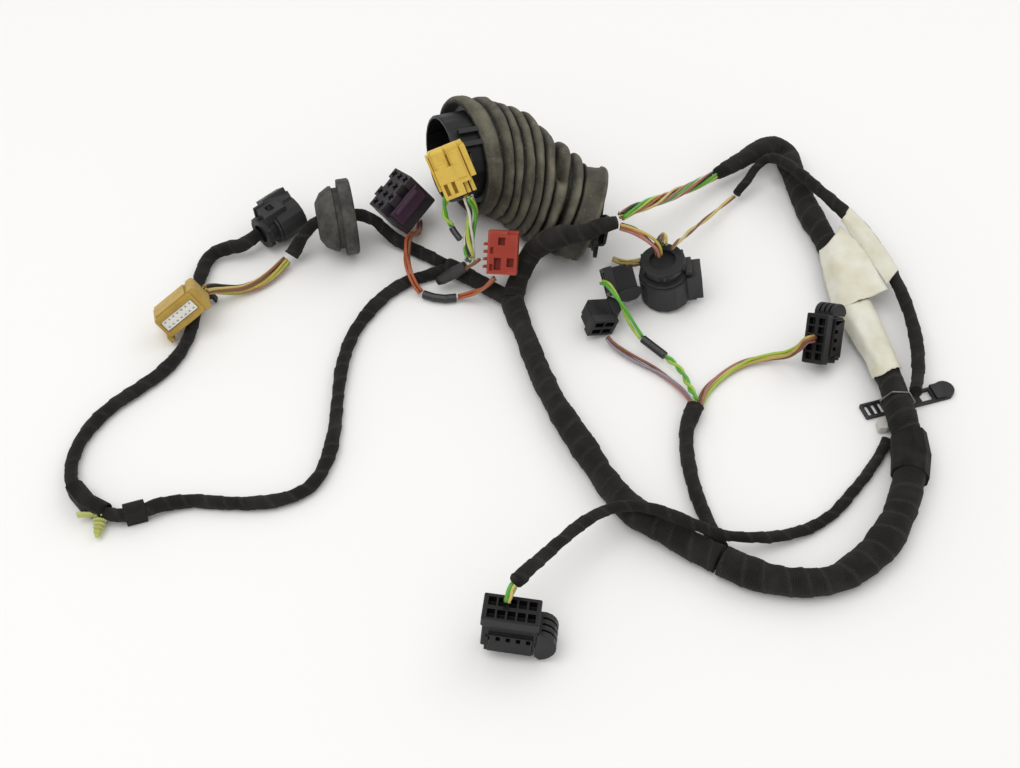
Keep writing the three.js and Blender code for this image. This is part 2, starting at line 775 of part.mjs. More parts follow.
// Red plug: wires enter cavities in its front, with comb teeth down one side
function redPlugHousing() {
  const { width, thickness, length } = redPlug;
  const body = casing(width, thickness, length, 0.8);
  const teeth = [];
  for (let i = 0; i < 4; i += 1) {
    teeth.push(block(3, thickness - 4, 1.2, width / 2 + 0.8, 0, -8 + i * 4));
  }
  const cavities = [
    block(3.6, 8, 4.6, -4.4, thickness / 2, -5),
    block(3.6, 8, 6.4, 2.4, thickness / 2, -6),
    block(3.6, 8, 4, 0.6, thickness / 2, 6),
    block(1.6, 4, 3.4, 5.6, thickness / 2, -8),
    block(1.6, 4, 3.4, 5.6, thickness / 2, 1),
  ];
  const ledge = block(6, 3, 4, -5.4, thickness / 2, length / 2);
  return cut(join(body, ...teeth), ...cavities, ledge);
}

function redPlugAssembly() {
  const frame = plugFrame([-11, 54.6, 25.3], [0.05, 0.62, 0.72], [-0.98, 0.1, 0]);
  add('red_plug_housing', redPlugHousing(), redNylon, frame);
}

// Pin plug: a shrouded housing with a white insert of two rows of pin holes
function pinPlugHousing() {
  const { width, thickness, length } = pinPlug;
  const shell = casing(width, thickness, length, 1.4);
  const mouth = casing(width - 3, thickness - 6, 9, 0.6).translate(0, 0, length / 2);
  const rib = block(width - 4, 1.4, length - 2, 0, thickness / 2 + 0.4, 0);
  const rail = block(width - 8, 1.4, length - 4, 0, -thickness / 2 - 0.4, 0);
  const cap = casing(5, thickness + 2, length - 1, 1.6).translate(width / 2 + 1.2, 0, -0.5);
  const hook = block(2.4, 4, 6, -width / 2 - 0.4, -thickness / 2 - 1, 3);
  const entry = block(width - 8, thickness - 6, 6, 0, 0, -length / 2);
  return cut(join(shell, rib, rail, cap, hook), mouth, entry);
}

function pinPlugInsert() {
  const { width, thickness, length } = pinPlug;
  const insert = casing(width - 3 - 2 * gap, thickness - 6 - 2 * gap, 4, 0.4).translate(0, 0, length / 2 - 2.4);
  const holes = [];
  for (let column = 0; column < 7; column += 1) {
    for (const row of [-1, 1]) {
      holes.push(block(1, 1, 3, (column - 3) * 2.6, row * 1.6, length / 2));
    }
  }
  return cut(insert, ...holes);
}

function pinPlugAssembly() {
  const frame = plugFrame([-170.6, 24.4, 14.3], [0.265, -0.892, 0.361], [0.75, 0.506, 0.424]);
  add('pin_plug_housing', pinPlugHousing(), mustardNylon, frame);
  add('pin_plug_insert', pinPlugInsert(), whiteNylon, frame);
}

// Lever plugs: a rim of wire cavities, slots down the front and a ribbed lever at one end

function leverPlugBody({ width, thickness, length }, columns) {
  const rim = casing(width + 1.6, thickness + 1.2, 4.4, 0.7).translate(0, 0, -length / 2 + 2.2);
  const body = casing(width, thickness, length - 4, 0.7).translate(0, 0, 2);
  const apron = casing(width - 4, 2.4, length * 0.5, 0.6).translate(1, thickness / 2 + 0.2, length * 0.18);
  const pitch = (width - 1.6) / columns;
  const cavities = [];
  const slots = [];
  for (let column = 0; column < columns; column += 1) {
    const x = (column - (columns - 1) / 2) * pitch;
    for (const row of [-1, 1]) {
      cavities.push(block(pitch - 1, thickness / 2 - 2, 7, x, row * thickness * 0.25, -length / 2));
    }
    slots.push(block(pitch * 0.42, 3.4, 2.6, x, thickness / 2 + 1.2, length * 0.02));
  }
  const foot = block(3.4, thickness + 4, 6, -width / 2, 0, length / 2);
  return cut(join(rim, body, apron), ...cavities, ...slots, foot);
}

function plugLever({ width, thickness, length }, ribs) {
  const radius = length * 0.42;
  const outline = new THREE.Shape();
  outline.moveTo(0, -radius * 0.55);
  outline.lineTo(radius * 0.35, -radius * 0.55);
  outline.absarc(0, radius * 0.35, radius, -0.9, Math.PI / 2.4);
  outline.lineTo(0, radius * 1.1);
  const lever = prism(outline, thickness, 4).rotateX(Math.PI / 2).translate(0, thickness / 2, 0);
  const grooves = [];
  for (let i = 1; i < ribs; i += 1) {
    const y = -thickness / 2 + (i / ribs) * thickness;
    grooves.push(block(radius * 2, 0.9, radius * 3, radius + 1.6, y, 0));
  }
  return cut(lever, ...grooves).translate(width / 2 + gap, 0, 1);
}

function leverPlug(name, size, columns, at, mates, wide) {
  const frame = plugFrame(at, mates, wide);
  add(`${name}_body`, leverPlugBody(size, columns), blackNylon, frame);
  add(`${name}_lever`, plugLever(size, 4), blackNylon, frame);
}

// A smaller plug of the same family, whose ribs are moulded on
function ribbedPlug(name, size, columns, at, mates, wide) {
  const frame = plugFrame(at, mates, wide);
  const ribs = plugLever(size, 4).translate(-gap - 0.2, 0, 0);
  add(name, join(leverPlugBody(size, columns), ribs), blackNylon, frame);
}

// Small grommet: a dome, a panel groove and a flange on the grommet branch
function smallGrommet() {
  return facingOut(revolve([
    [0, -12],
    [9.8, -12],
    [14.5, -9],
    [grommetDome, -4],
    [grommetDome, -2.6],
    [grommetNeck, -2.2],
    [grommetNeck, 0.8],
    [grommetRadius, 0.8],
    [grommetRadius, 6.4],
    [grommetRadius - 1, 7.4],
    [0, 7.4],
  ], 20));
}

function placeGrommet() {
  const frame = plugFrame([-93.6, 85, grommetRadius + rest], [0.975, 0.22, 0], [0, 1, 0]);
  frame.updateMatrixWorld();
  const solid = smallGrommet().applyMatrix4(frame.matrixWorld);
  add('small_grommet', clearOf(solid, grommetBranchRoute), grommetRubber);
}

// Fir-tree clip: a finned stud on a bar that two wraps of tape hold to the door loop
function firTreeClip() {
  const fins = [[0, 0], [3.6, 0], [3.6, 1.2], [1.8, 1.6]];
  for (let i = 0; i < 4; i += 1) {
    const height = 3 + i * 2.3;
    const reach = 4.4 - 0.5 * i;
    fins.push([1.8, height]);
    fins.push([reach, height + 0.1]);
    fins.push([1.8, height + 1.7]);
  }
  fins.push([1.2, 13.4]);
  fins.push([0, 13.8]);
  const stud = facingOut(revolve(fins, 8)).rotateX(Math.PI / 2 + 0.2).translate(0, -0.4, 0);
  const bar = block(28, 1.6, 4, 0.6, 0, 0);
  return join(stud, bar);
}

function clipWrap(from, to, grow) {
  const curve = centreLine(doorLoopRoute.slice(from, to + 1));
  const length = curve.getLength();
  const outer = branchRadius + gap + grow;
  const section = new THREE.Shape();
  section.absarc(0, 0, outer, Math.PI / 2, 1.5 * Math.PI);
  section.lineTo(3.6, -outer + 0.6);
  section.lineTo(3.6, outer - 0.6);
  const options = { depth: length, steps: 2, bevelEnabled: false, curveSegments: 4 };
  const wrap = facingOut(bendAlong(new THREE.ExtrudeGeometry(section, options), curve, length));
  return clearOf(wrap, doorLoopRoute);
}

function cableTie() {
  const inner = branchRadius + gap;
  const band = facingOut(revolveRing([
    [inner, -tieWidth / 2],
    [inner + tieThickness, -tieWidth / 2],
    [inner + tieThickness, tieWidth / 2],
    [inner, tieWidth / 2],
  ], 12));
  const head = casing(5.4, 4.4, 5.2, 0.6).translate(inner + tieThickness + 1.6, 1.6, 0);
  const tail = block(1.2, 6, 3.6, inner + tieThickness + 2.2, 4.6, 0);
  return join(band, head, tail);
}

function placeCableTie() {
  const frame = plugFrame([-165.7, 44, branchRadius + 1.6], [0, 1, 0], [1, 0, 0.5]);
  frame.updateMatrixWorld();
  const solid = cableTie().applyMatrix4(frame.matrixWorld);
  add('cable_tie', clearOf(solid, doorLoopRoute), blackNylon);
}

// Ladder strap: a flat strap with rungs, a loop and a rounded tongue, under the trunk
function ladderStrap() {
  const length = 46;
  const plate = prism(roundedRectangle(length, strapWidth, 1), strapThickness, 2);
  const tongueThickness = strapThickness + 1;
  const tongue = rod(strapWidth / 2 + 0.6, tongueThickness).translate(length / 2 - 2, 0.6, tongueThickness / 2);
  const arm = block(8, strapWidth, tongueThickness, length / 2 - 4, 0.6, tongueThickness / 2);
  const rungs = 4;
  const openings = [block(6, strapWidth - 3.2, 9, 10.6, 0, 0)];
  for (let i = 0; i < rungs; i += 1) {
    openings.push(block(2, strapWidth - 2.8, 9, -length / 2 + 2.6 + i * 3.4, 0, 0));
  }
  return cut(join(plate, tongue, arm), ...openings);
}

function placeStrap() {
  const frame = new THREE.Group();
  frame.position.set(189, -24, rest);
  frame.rotation.z = 0.3;
  harness.add(frame);
  add('ladder_strap', ladderStrap(), blackNylon, frame);
}

// Tie wire: one wavy turn of galvanised wire round the trunk
function tieWire() {
  const centre = centreLine(upperTrunkRoute).getPointAt(0.912);
  const reach = trunkRadius + gap + tieWireRadius + 0.9;
  const points = [];
  const turns = 26;
  for (let i = 0; i <= turns; i += 1) {
    const angle = -0.3 * Math.PI + (i / turns) * 1.6 * Math.PI;
    const wave = 1.5 * Math.sin(i * 1.25);
    points.push([centre.x + reach * Math.cos(angle), centre.y + wave, centre.z + reach * Math.sin(angle)]);
  }
  return wireRun(points, tieWireRadius);
}

// Splice cap: a heat-shrink cap over the joined ends of the yellow plug's wires
function spliceCap() {
  const length = 19;
  return facingOut(revolve([
    [0, 0],
    [2, 0.4],
    [2.8, 3],
    [3.3, 12],
    [2.8, length - 0.4],
    [0, length],
  ], 12));
}

function placeSpliceCap() {
  const tip = new THREE.Vector3(-42, 52.5, 5.5);
  const heel = new THREE.Vector3(-27.5, 53.8, 15.6);
  const heading = heel.clone().sub(tip).normalize();
  const frame = plugFrame(tip.toArray(), heading.toArray(), [0, 1, 0]);
  add('splice_cap', spliceCap(), shrinkSleeve, frame);
}

// Labels: thin film wrapped over the trunk and the side branch, left bare

function label(route, from, to, section) {
  const whole = centreLine(route);
  const points = [];
  const steps = 6;
  for (let i = 0; i <= steps; i += 1) {
    points.push(whole.getPointAt(THREE.MathUtils.lerp(from, to, i / steps)));
  }
  const curve = new THREE.CatmullRomCurve3(points, false, 'centripetal');
  const length = curve.getLength();
  const options = { depth: length, steps: 4, bevelEnabled: false };
  return facingOut(bendAlong(new THREE.ExtrudeGeometry(section, options), curve, length));
}

// A film section: an arc of the wrap, then a flag that leaves it at a slope
function filmSection(radius, start, end, flag = 0, slope = 0) {
  const inner = radius + gap;
  const outer = inner + labelThickness;
  const section = new THREE.Shape();
  const steps = 8;
  const at = (reach, angle) => [reach * Math.cos(angle), reach * Math.sin(angle)];
  for (let i = 0; i <= steps; i += 1) {
    const point = at(outer, THREE.MathUtils.lerp(start, end, i / steps));
    if (i === 0) {
      section.moveTo(...point);
    } else {
      section.lineTo(...point);
    }
  }
  const [outerX, outerY] = at(outer, end);
  const [innerX, innerY] = at(inner, end);
  if (flag > 0) {
    section.lineTo(outerX + flag, outerY + slope);
    section.lineTo(innerX + flag, innerY + slope);
  }
  for (let i = steps; i >= 0; i -= 1) {
    section.lineTo(...at(inner, THREE.MathUtils.lerp(start, end, i / steps)));
  }
  return section;
}

function labels() {
  const wrap = filmSection(trunkRadius, -0.15 * Math.PI, 1.15 * Math.PI);
  const flagged = filmSection(trunkRadius + 0.9, 1.1 * Math.PI, 0.42 * Math.PI, 6, 0.6);
  const sideWrap = filmSection(3.3, 1.02 * Math.PI, 0.1 * Math.PI);
  add('label_lower', label(upperTrunkRoute, 0.64, 0.83, wrap), labelFilm);
  add('label_main', label(upperTrunkRoute, 0.41, 0.635, flagged), labelFilm);
  add('label_upper', label(sideBranchRoute.slice(2, 8), 0.3, 0.72, sideWrap), labelFilm);
}

// Loose wire bundles, each from a taped end to its plug

function wireBundles() {
  const bundles = [
    ['wires_pin_plug', tanWire, 3, [
      [-122, 68.6, 5], [-128, 61, 4], [-135, 53.5, 4], [-143, 48, 5], [-151, 44.5, 8.4], [-156, 41.4, 12.2], [-159, 38.8, 14.4],
    ]],
    ['wires_yellow_plug', paleWire, 2.9, [
      [-25.4, 77.5, 42.5], [-23.4, 75.5, 34], [-24.6, 71, 26.5], [-25, 65, 20.5], [-24.8, 60, 18.4], [-24.6, 56.8, 18],
    ]],
    ['wires_green_pair', greenWire, 1.7, [
      [-36.5, 80, 41], [-38, 79, 34], [-37, 76.5, 29], [-34.2, 73.6, 25.6],
    ]],
    ['wires_splice_to_red', brownWire, 1.4, [
      [-26.4, 51, 17.6], [-24.4, 49.4, 21.4], [-23.4, 49, 24], [-22.8, 49.4, 25.4],
    ]],
    ['wires_black_plug', brownWire, 1.9, [
      [-52.4, 98, 5.4], [-53, 90, 6], [-56, 83.5, 10.4], [-58, 77, 11.8], [-58, 68, 11], [-57, 60, 11], [-55, 53.4, 9], [-52.4, 49.4, 5], [-50.4, 47.7, 2.8],
    ]],
    ['wires_red_plug', orangeWire, 1.7, [
      [-30.4, 44.5, 2.8], [-26, 43.6, 6], [-20, 43, 12], [-15.4, 43.6, 16.4],
    ]],
    ['wires_round_front', orangeWire, 2.2, [
      [51.9, 60, 38.3], [58, 57, 38.5], [65, 51.5, 37.5], [70, 47.6, 34.5], [71.3, 46.4, 30.8],
    ]],
    ['wires_round_back', tanWire, 1.9, [
      [50.5, 72, 3.2], [58, 69, 3.2], [66, 66.5, 8], [71, 64.6, 18], [73.4, 61.6, 28.6], [73.8, 56, 35], [73.8, 50.8, 34.6],
    ]],
    ['wires_round_thin', paleWire, 1.2, [
      [119, 117, 6.6], [107, 103, 8], [95, 84, 15], [85, 63, 27], [80.5, 52.5, 34.5], [77.4, 49, 33.4],
    ]],
    ['wires_bridge', greenWire, 2.7, [
      [52.4, 64.4, 41.4], [58.5, 70, 40.6], [71, 86, 31], [89, 110, 17], [108.8, 129.6, 10.4],
    ]],
    ['wires_switch_c', tanWire, 2.1, [
      [87.7, -30.1, 4.2], [92.4, -18.5, 3.2], [101, -8.5, 2.6], [113, 0, 2.8], [126, 2.6, 4.2], [133, 0.8, 7.6], [137.4, -1.6, 14.4], [140.4, -1.4, 20.4], [145.2, 1.9, 18.1],
    ]],
    ['wires_switch_b', greyWire, 1.6, [
      [84, -28.7, 3.6], [83.4, -25, 3], [79, -16, 2.1], [69, -6, 2.1], [57, 3, 2.1], [48, 11, 3.4], [45, 14.6, 5],
    ]],
    ['wires_green_twist', greenWire, 1.7, [
      [85.5, -29.3, 8.2], [85, -25.6, 8], [81.8, -15, 6.4], [78, -6, 6.2], [73.5, 0.4, 6.2],
    ]],
    ['wires_switch_a', greenWire, 1.7, [
      [62, 12.6, 6.8], [57, 18, 11], [51, 26, 19], [45.4, 34, 22.4], [42.6, 39.2, 19.2],
    ]],
    ['wires_module_plug', tanWire, 2.3, [
      [-2.6, -146.6, 30], [-4.4, -149.6, 29], [-5.6, -152.6, 26.6],
    ]],
  ];
  for (const [name, material, radius, points] of bundles) {
    add(name, wireRun(points, radius), material);
  }
}

function tapeBits() {
  add('tape_bit_brown', wireRun([[-49, 46.6, 2.6], [-40, 43.4, 2.6], [-31.8, 44.2, 2.6]], 2.3), shrinkSleeve);
  add('tape_bit_green', wireRun([[-34.2, 73, 25], [-32.2, 70, 23.6], [-29.8, 67, 22.4]], 1.8), shrinkSleeve);
  add('sleeve_green', wireRun([[73, 1, 6.2], [67.5, 7, 6.2], [62.6, 12.1, 6.5]], 2.2), shrinkSleeve);
}

tapedRuns();
add('torn_tape_band', tornBand(), clothTape);
add('bellows', bellows(), bellowsRubber);
placeCoupling();
placeEndSocket();
roundPlug('round_plug_small', smallBarrelRadius, smallBarrelLength, [-130, 89, 11.2], [0.735, 0.678, 0.06], [-0.5, 0.6, -0.7]);
roundPlug('round_plug_large', largeBarrelRadius, largeBarrelLength, [74.5, 46.5, 19.2], [0.16, 0.05, -0.98], [0, 1, 0]);
yellowPlugA();
blackPlugAssembly();
redPlugAssembly();
pinPlugAssembly();
leverPlug('module_plug', modulePlug, 5, [-4, -156.5, 14.5], [-0.08, -0.12, -0.98], [0.99, -0.12, -0.06]);
leverPlug('mirror_plug', mirrorPlug, 5, [151, 5.6, 13.7], [0.7, 0.45, -0.536], [0.208, 0.749, 0.629]);
ribbedPlug('switch_plug_top', switchPlug, 2, [51.6, 45.2, 15.5], [0.95, 0.28, 0.08], [0.2, -0.72, -0.62]);
ribbedPlug('switch_plug_foot', switchPlug, 2, [40.4, 24.4, 9.4], [-0.3, 0.9, 0.1], [0.8, 0.25, -0.25]);
placeGrommet();
add('fir_tree_clip', firTreeClip().translate(-190, -98.3, 5.1), clipNylon);
add('clip_wrap_left', clipWrap(18, 20, 1.4), clothTape);
add('clip_wrap_right', clipWrap(16, 17, 1.6), clothTape);
placeCableTie();
placeStrap();
add('tie_wire', tieWire(), galvanisedWire);
add('foam_tag', casing(5, 6, 4, 1).translate(174.6, -40.5, 2.9), softWhite);
placeSpliceCap();
labels();
wireBundles();
tapeBits();

harness.position.set(centring.x, centring.y, 0);
const part = new THREE.Group();
part.add(harness);

export default part;
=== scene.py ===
# Car door wiring harness laid out on a pale floor: taped runs, loose wires, rubber bellows,
# plugs, grommets, a clip and bare labels. Metres, +Z up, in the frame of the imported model.

import math
import random

import bmesh
import bpy
import numpy as np
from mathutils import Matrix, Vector, noise


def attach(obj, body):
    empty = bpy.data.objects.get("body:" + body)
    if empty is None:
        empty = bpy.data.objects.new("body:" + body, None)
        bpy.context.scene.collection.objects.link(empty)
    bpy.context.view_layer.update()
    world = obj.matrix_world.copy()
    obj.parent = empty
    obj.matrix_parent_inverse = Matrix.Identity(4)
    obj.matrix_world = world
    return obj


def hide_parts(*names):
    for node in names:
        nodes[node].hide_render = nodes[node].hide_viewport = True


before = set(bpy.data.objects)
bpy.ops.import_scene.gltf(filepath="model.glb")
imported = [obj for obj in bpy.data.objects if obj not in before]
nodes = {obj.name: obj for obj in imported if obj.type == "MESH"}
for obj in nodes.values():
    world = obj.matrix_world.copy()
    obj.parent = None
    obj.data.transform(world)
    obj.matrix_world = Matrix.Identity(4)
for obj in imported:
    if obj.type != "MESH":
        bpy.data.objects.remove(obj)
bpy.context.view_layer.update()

MM = 0.001
CENTRING = np.array([-0.8, 3.3, 0.0])  # moves the middle of the footprint onto the origin
BRANCH = 3.2  # radius of a thin taped run
REST = 0.2  # height of a run's underside where it lies on the floor
TAPE_ADVANCE = 9.5  # a 19 mm tape wound with half of it lapped


# Camera, at the photograph's angle

LENS, SENSOR_WIDTH = 50, 36
CAMERA_ELEVATION = 50  # degrees above the floor
CAMERA_DISTANCE = 0.7
AIM = (-4.8, -8.7, 0)  # millimetres


def place_camera():
    data = bpy.data.cameras.new("camera")
    data.lens = LENS
    data.sensor_width = SENSOR_WIDTH
    camera = bpy.data.objects.new("camera", data)
    bpy.context.collection.objects.link(camera)
    elevation = math.radians(CAMERA_ELEVATION)
    toward = Vector((0, -math.cos(elevation), math.sin(elevation)))
    camera.location = Vector(AIM) * MM + CAMERA_DISTANCE * toward
    camera.rotation_euler = (math.pi / 2 - elevation, 0, 0)
    bpy.context.scene.camera = camera


place_camera()


# Materials

def linear(colour):
    """An sRGB hex colour as linear red, green, blue and alpha."""
    shares = [int(colour[i:i + 2], 16) / 255 for i in (1, 3, 5)]
    return tuple(v / 12.92 if v <= 0.04045 else ((v + 0.055) / 1.055) ** 2.4 for v in shares) + (1.0,)


def add(tree, kind, inputs=None, **settings):
    """Adds a node; each input is a value or the socket that feeds it."""
    made = tree.nodes.new(kind)
    for name, value in settings.items():
        setattr(made, name, value)
    for socket, value in (inputs or {}).items():
        if isinstance(value, bpy.types.NodeSocket):
            tree.links.new(value, made.inputs[socket])
        else:
            made.inputs[socket].default_value = value
    return made


def blend_colours(tree, share, first, second, mode="MIX"):
    """A colour between two, by share; each is a hex colour or a socket."""
    feeds = {0: share}
    for place, colour in ((6, first), (7, second)):
        feeds[place] = linear(colour) if isinstance(colour, str) else colour
    return add(tree, "ShaderNodeMix", feeds, data_type="RGBA", blend_type=mode).outputs[2]


def ramp(tree, value, low, high, out_low=0.0, out_high=1.0):
    """The value carried from one range to another, and held at its ends."""
    feeds = {0: value, 1: low, 2: high, 3: out_low, 4: out_high}
    return add(tree, "ShaderNodeMapRange", feeds).outputs[0]


def math_node(tree, operation, first, second=0.0):
    return add(tree, "ShaderNodeMath", {0: first, 1: second}, operation=operation).outputs[0]


def grain(tree, place, size, detail=3.0, roughness=0.55):
    """Noise whose patches are about size millimetres across."""
    feeds = {"Vector": place, "Scale": 1 / (size * MM), "Detail": detail, "Roughness": roughness}
    return add(tree, "ShaderNodeTexNoise", feeds).outputs["Fac"]


def material(name, build):
    made = bpy.data.materials.new(name)
    made.use_nodes = True
    tree = made.node_tree
    shader = tree.nodes["Principled BSDF"]
    place = add(tree, "ShaderNodeTexCoord").outputs["Object"]
    for socket, value in build(tree, place).items():
        if isinstance(value, bpy.types.NodeSocket):
            tree.links.new(value, shader.inputs[socket])
        else:
            shader.inputs[socket].default_value = value
    return made


def relief(tree, height, depth, under=None):
    """A bump of depth millimetres from a height of 0 to 1."""
    feeds = {"Height": height, "Distance": depth * MM, "Strength": 1.0}
    if under is not None:
        feeds["Normal"] = under
    return add(tree, "ShaderNodeBump", feeds).outputs[0]


def cloth_tape(tree, place):
    # Woven rayon harness tape: a dull black cloth with patches of dust, its threads painted lighter on top with
    # painted shade between them, and fuzzy lap edges
    uv = add(tree, "ShaderNodeUVMap", uv_map="UVMap").outputs[0]
    threads = []
    for direction, scale in (("X", 0.34), ("Y", 0.30)):
        feeds = {"Vector": uv, "Scale": scale, "Distortion": 0.6, "Detail": 1.0, "Detail Scale": 3.0}
        bands = add(tree, "ShaderNodeTexWave", feeds, wave_type="BANDS", bands_direction=direction)
        threads.append(bands.outputs["Fac"])
    weave = math_node(tree, "MULTIPLY", *threads)
    lap = add(tree, "ShaderNodeAttribute", attribute_name="lap").outputs["Fac"]
    dust = ramp(tree, grain(tree, place, 14), 0.45, 0.75)
    fuzz = grain(tree, place, 0.9, 4.0, 0.7)
    # Thread tops painted lighter and the gaps between threads painted darker, as light and shade
    shaded_weave = blend_colours(tree, ramp(tree, weave, 0.15, 0.9), "#0d0d0d", "#262524")
    dusty = blend_colours(tree, math_node(tree, "MULTIPLY", dust, 0.35), shaded_weave, "#3b3833")
    edge = math_node(tree, "MULTIPLY", lap, ramp(tree, fuzz, 0.4, 0.7, 0.1, 0.55))
    colour = blend_colours(tree, edge, dusty, "#4a4640")
    bump = relief(tree, weave, 0.12, relief(tree, fuzz, 0.16))
    return {"Base Color": colour, "Roughness": 0.92, "Normal": bump, "Specular IOR Level": 0.25,
            "Sheen Weight": 0.08, "Sheen Roughness": 0.6, "Sheen Tint": linear("#b8b0a4")}


def insulation(tree, place):
    # Extruded PVC insulation: smooth and a little waxy, with its own colour and stripe, and smears of dirt
    tint = add(tree, "ShaderNodeAttribute", attribute_name="tint").outputs["Color"]
    dirt = ramp(tree, grain(tree, place, 5), 0.52, 0.8, 0.0, 0.35)
    colour = blend_colours(tree, dirt, tint, "#3b352c")
    return {"Base Color": colour, "Roughness": ramp(tree, grain(tree, place, 2), 0.3, 0.7, 0.3, 0.48),
            "Normal": relief(tree, grain(tree, place, 1.5), 0.04), "Coat Weight": 0.15, "Coat Roughness": 0.3}


def bellows_rubber(tree, place):
    # Moulded EPDM rubber, aged: brown-black, matt, with pale dust rubbed onto the crests that also stands in for
    # the light they catch, and painted shade darkening the creases
    depth = add(tree, "ShaderNodeAttribute", attribute_name="crest").outputs["Fac"]
    patches = grain(tree, place, 11, 4.0, 0.6)
    specks = grain(tree, place, 1.3, 4.0, 0.7)
    worn = ramp(tree, patches, 0.35, 0.7, 0.25, 1.0)
    # Crests painted paler, partly as dust and partly as light, and grooves painted darker as shade
    crest_dust_and_light = math_node(tree, "MULTIPLY", ramp(tree, depth, 0.5, 1.0), worn)
    colour = blend_colours(tree, crest_dust_and_light, "#1f1d18", "#6f6b5b")
    dusty = blend_colours(tree, ramp(tree, specks, 0.58, 0.78, 0.0, 0.5), colour, "#979280")
    bump = relief(tree, specks, 0.12, relief(tree, patches, 0.3))
    return {"Base Color": dusty, "Roughness": ramp(tree, patches, 0.3, 0.7, 0.62, 0.85), "Normal": bump,
            "Specular IOR Level": 0.4}


def grommet_rubber(tree, place):
    # Moulded EPDM rubber grommet: softer black-grey with talc left in patches
    patches = grain(tree, place, 6, 4.0, 0.6)
    specks = grain(tree, place, 0.9, 3.0, 0.6)
    colour = blend_colours(tree, ramp(tree, patches, 0.35, 0.75), "#33312e", "#575550")
    dusty = blend_colours(tree, ramp(tree, specks, 0.6, 0.8, 0.0, 0.4), colour, "#7c7970")
    return {"Base Color": dusty, "Roughness": 0.8, "Normal": relief(tree, specks, 0.08),
            "Specular IOR Level": 0.35}


def nylon(base, worn, dirt="#2a2723", roughness=0.42):
    # Injection-moulded nylon: an even colour, a faint spark-eroded grain, paler rubbed edges, dirt in patches
    def build(tree, place):
        edges = add(tree, "ShaderNodeNewGeometry").outputs["Pointiness"]
        patches = grain(tree, place, 7, 3.0, 0.6)
        fine = grain(tree, place, 0.5, 2.0, 0.6)
        colour = blend_colours(tree, ramp(tree, edges, 0.52, 0.62, 0.0, 0.7), base, worn)
        soiled = blend_colours(tree, ramp(tree, patches, 0.5, 0.8, 0.0, 0.4), colour, dirt)
        return {"Base Color": soiled, "Roughness": ramp(tree, patches, 0.3, 0.7, roughness, roughness + 0.14),
                "Normal": relief(tree, fine, 0.05), "IOR": 1.53, "Specular IOR Level": 0.3}
    return build


def label_film(tree, place):
    # Aged matt polyester label film: cream, yellowed in soft patches, with scuffs that show grey
    patches = grain(tree, place, 16, 3.0, 0.5)
    specks = grain(tree, place, 1.1, 4.0, 0.7)
    colour = blend_colours(tree, ramp(tree, patches, 0.35, 0.7), "#e2dfd0", "#cfc9ad")
    scuffed = blend_colours(tree, ramp(tree, specks, 0.62, 0.8, 0.0, 0.55), colour, "#8f8a79")
    return {"Base Color": scuffed, "Roughness": 0.5, "Normal": relief(tree, grain(tree, place, 6), 0.35),
            "Subsurface Weight": 0.05}


def zinc_wire(tree, place):
    # Galvanised steel wire: dull bright zinc with grey bloom
    bloom = grain(tree, place, 1.6, 3.0, 0.6)
    return {"Base Color": blend_colours(tree, bloom, "#a3a19b", "#6f6d68"), "Metallic": 1.0,
            "Roughness": ramp(tree, bloom, 0.3, 0.7, 0.32, 0.55)}


def shrink_sleeve(tree, place):
    # Shrunk polyolefin sleeve: smooth black with a soft gloss and shallow ripples, the ripple tops painted
    # lighter and the troughs darker as light and shade
    ripples = grain(tree, place, 2.2, 2.0, 0.5)
    return {"Base Color": blend_colours(tree, ripples, "#1b1b1d", "#2f2f31"), "Roughness": 0.36,
            "Normal": relief(tree, ripples, 0.25)}


def foam(tree, place):
    # Open-cell foam tag: off-white, pitted, with painted shade darkening the pits
    pits = grain(tree, place, 0.7, 4.0, 0.7)
    return {"Base Color": blend_colours(tree, pits, "#a7a49b", "#e2dfd7"), "Roughness": 0.95,
            "Normal": relief(tree, pits, 0.4)}


TAPE = material("woven rayon cloth tape", cloth_tape)
PVC = material("extruded PVC insulation", insulation)
BELLOWS = material("moulded EPDM bellows rubber", bellows_rubber)
GROMMET = material("moulded EPDM grommet rubber", grommet_rubber)
BLACK = material("black moulded nylon", nylon("#101012", "#3c3c3e", "#232221", 0.38))
CHARCOAL = material("charcoal moulded nylon", nylon("#1c1c1e", "#4c4c4e", "#2c2b28", 0.45))
VIOLET_BLACK = material("violet-black moulded nylon", nylon("#241f24", "#574f55", "#34302e", 0.4))
PURPLE = material("purple moulded nylon", nylon("#3c2538", "#6d5366", "#2c2527", 0.42))
YELLOW = material("yellow moulded nylon", nylon("#cfa728", "#ead078", "#8f7018", 0.38))
MUSTARD = material("mustard moulded nylon", nylon("#ae8d3c", "#d0b46c", "#6d5a2b", 0.42))
RED = material("red moulded nylon", nylon("#96301f", "#c0604a", "#5c2118", 0.4))
WHITE = material("white moulded nylon", nylon("#e4e2da", "#f4f3ee", "#a9a596", 0.42))
LIME = material("lime moulded nylon", nylon("#b2b55f", "#cfd290", "#6d6e40", 0.45))
FILM = material("aged polyester label film", label_film)
ZINC = material("galvanised steel wire", zinc_wire)
SLEEVE = material("shrunk polyolefin sleeve", shrink_sleeve)
FOAM = material("open-cell foam", foam)


# Lines and tubes

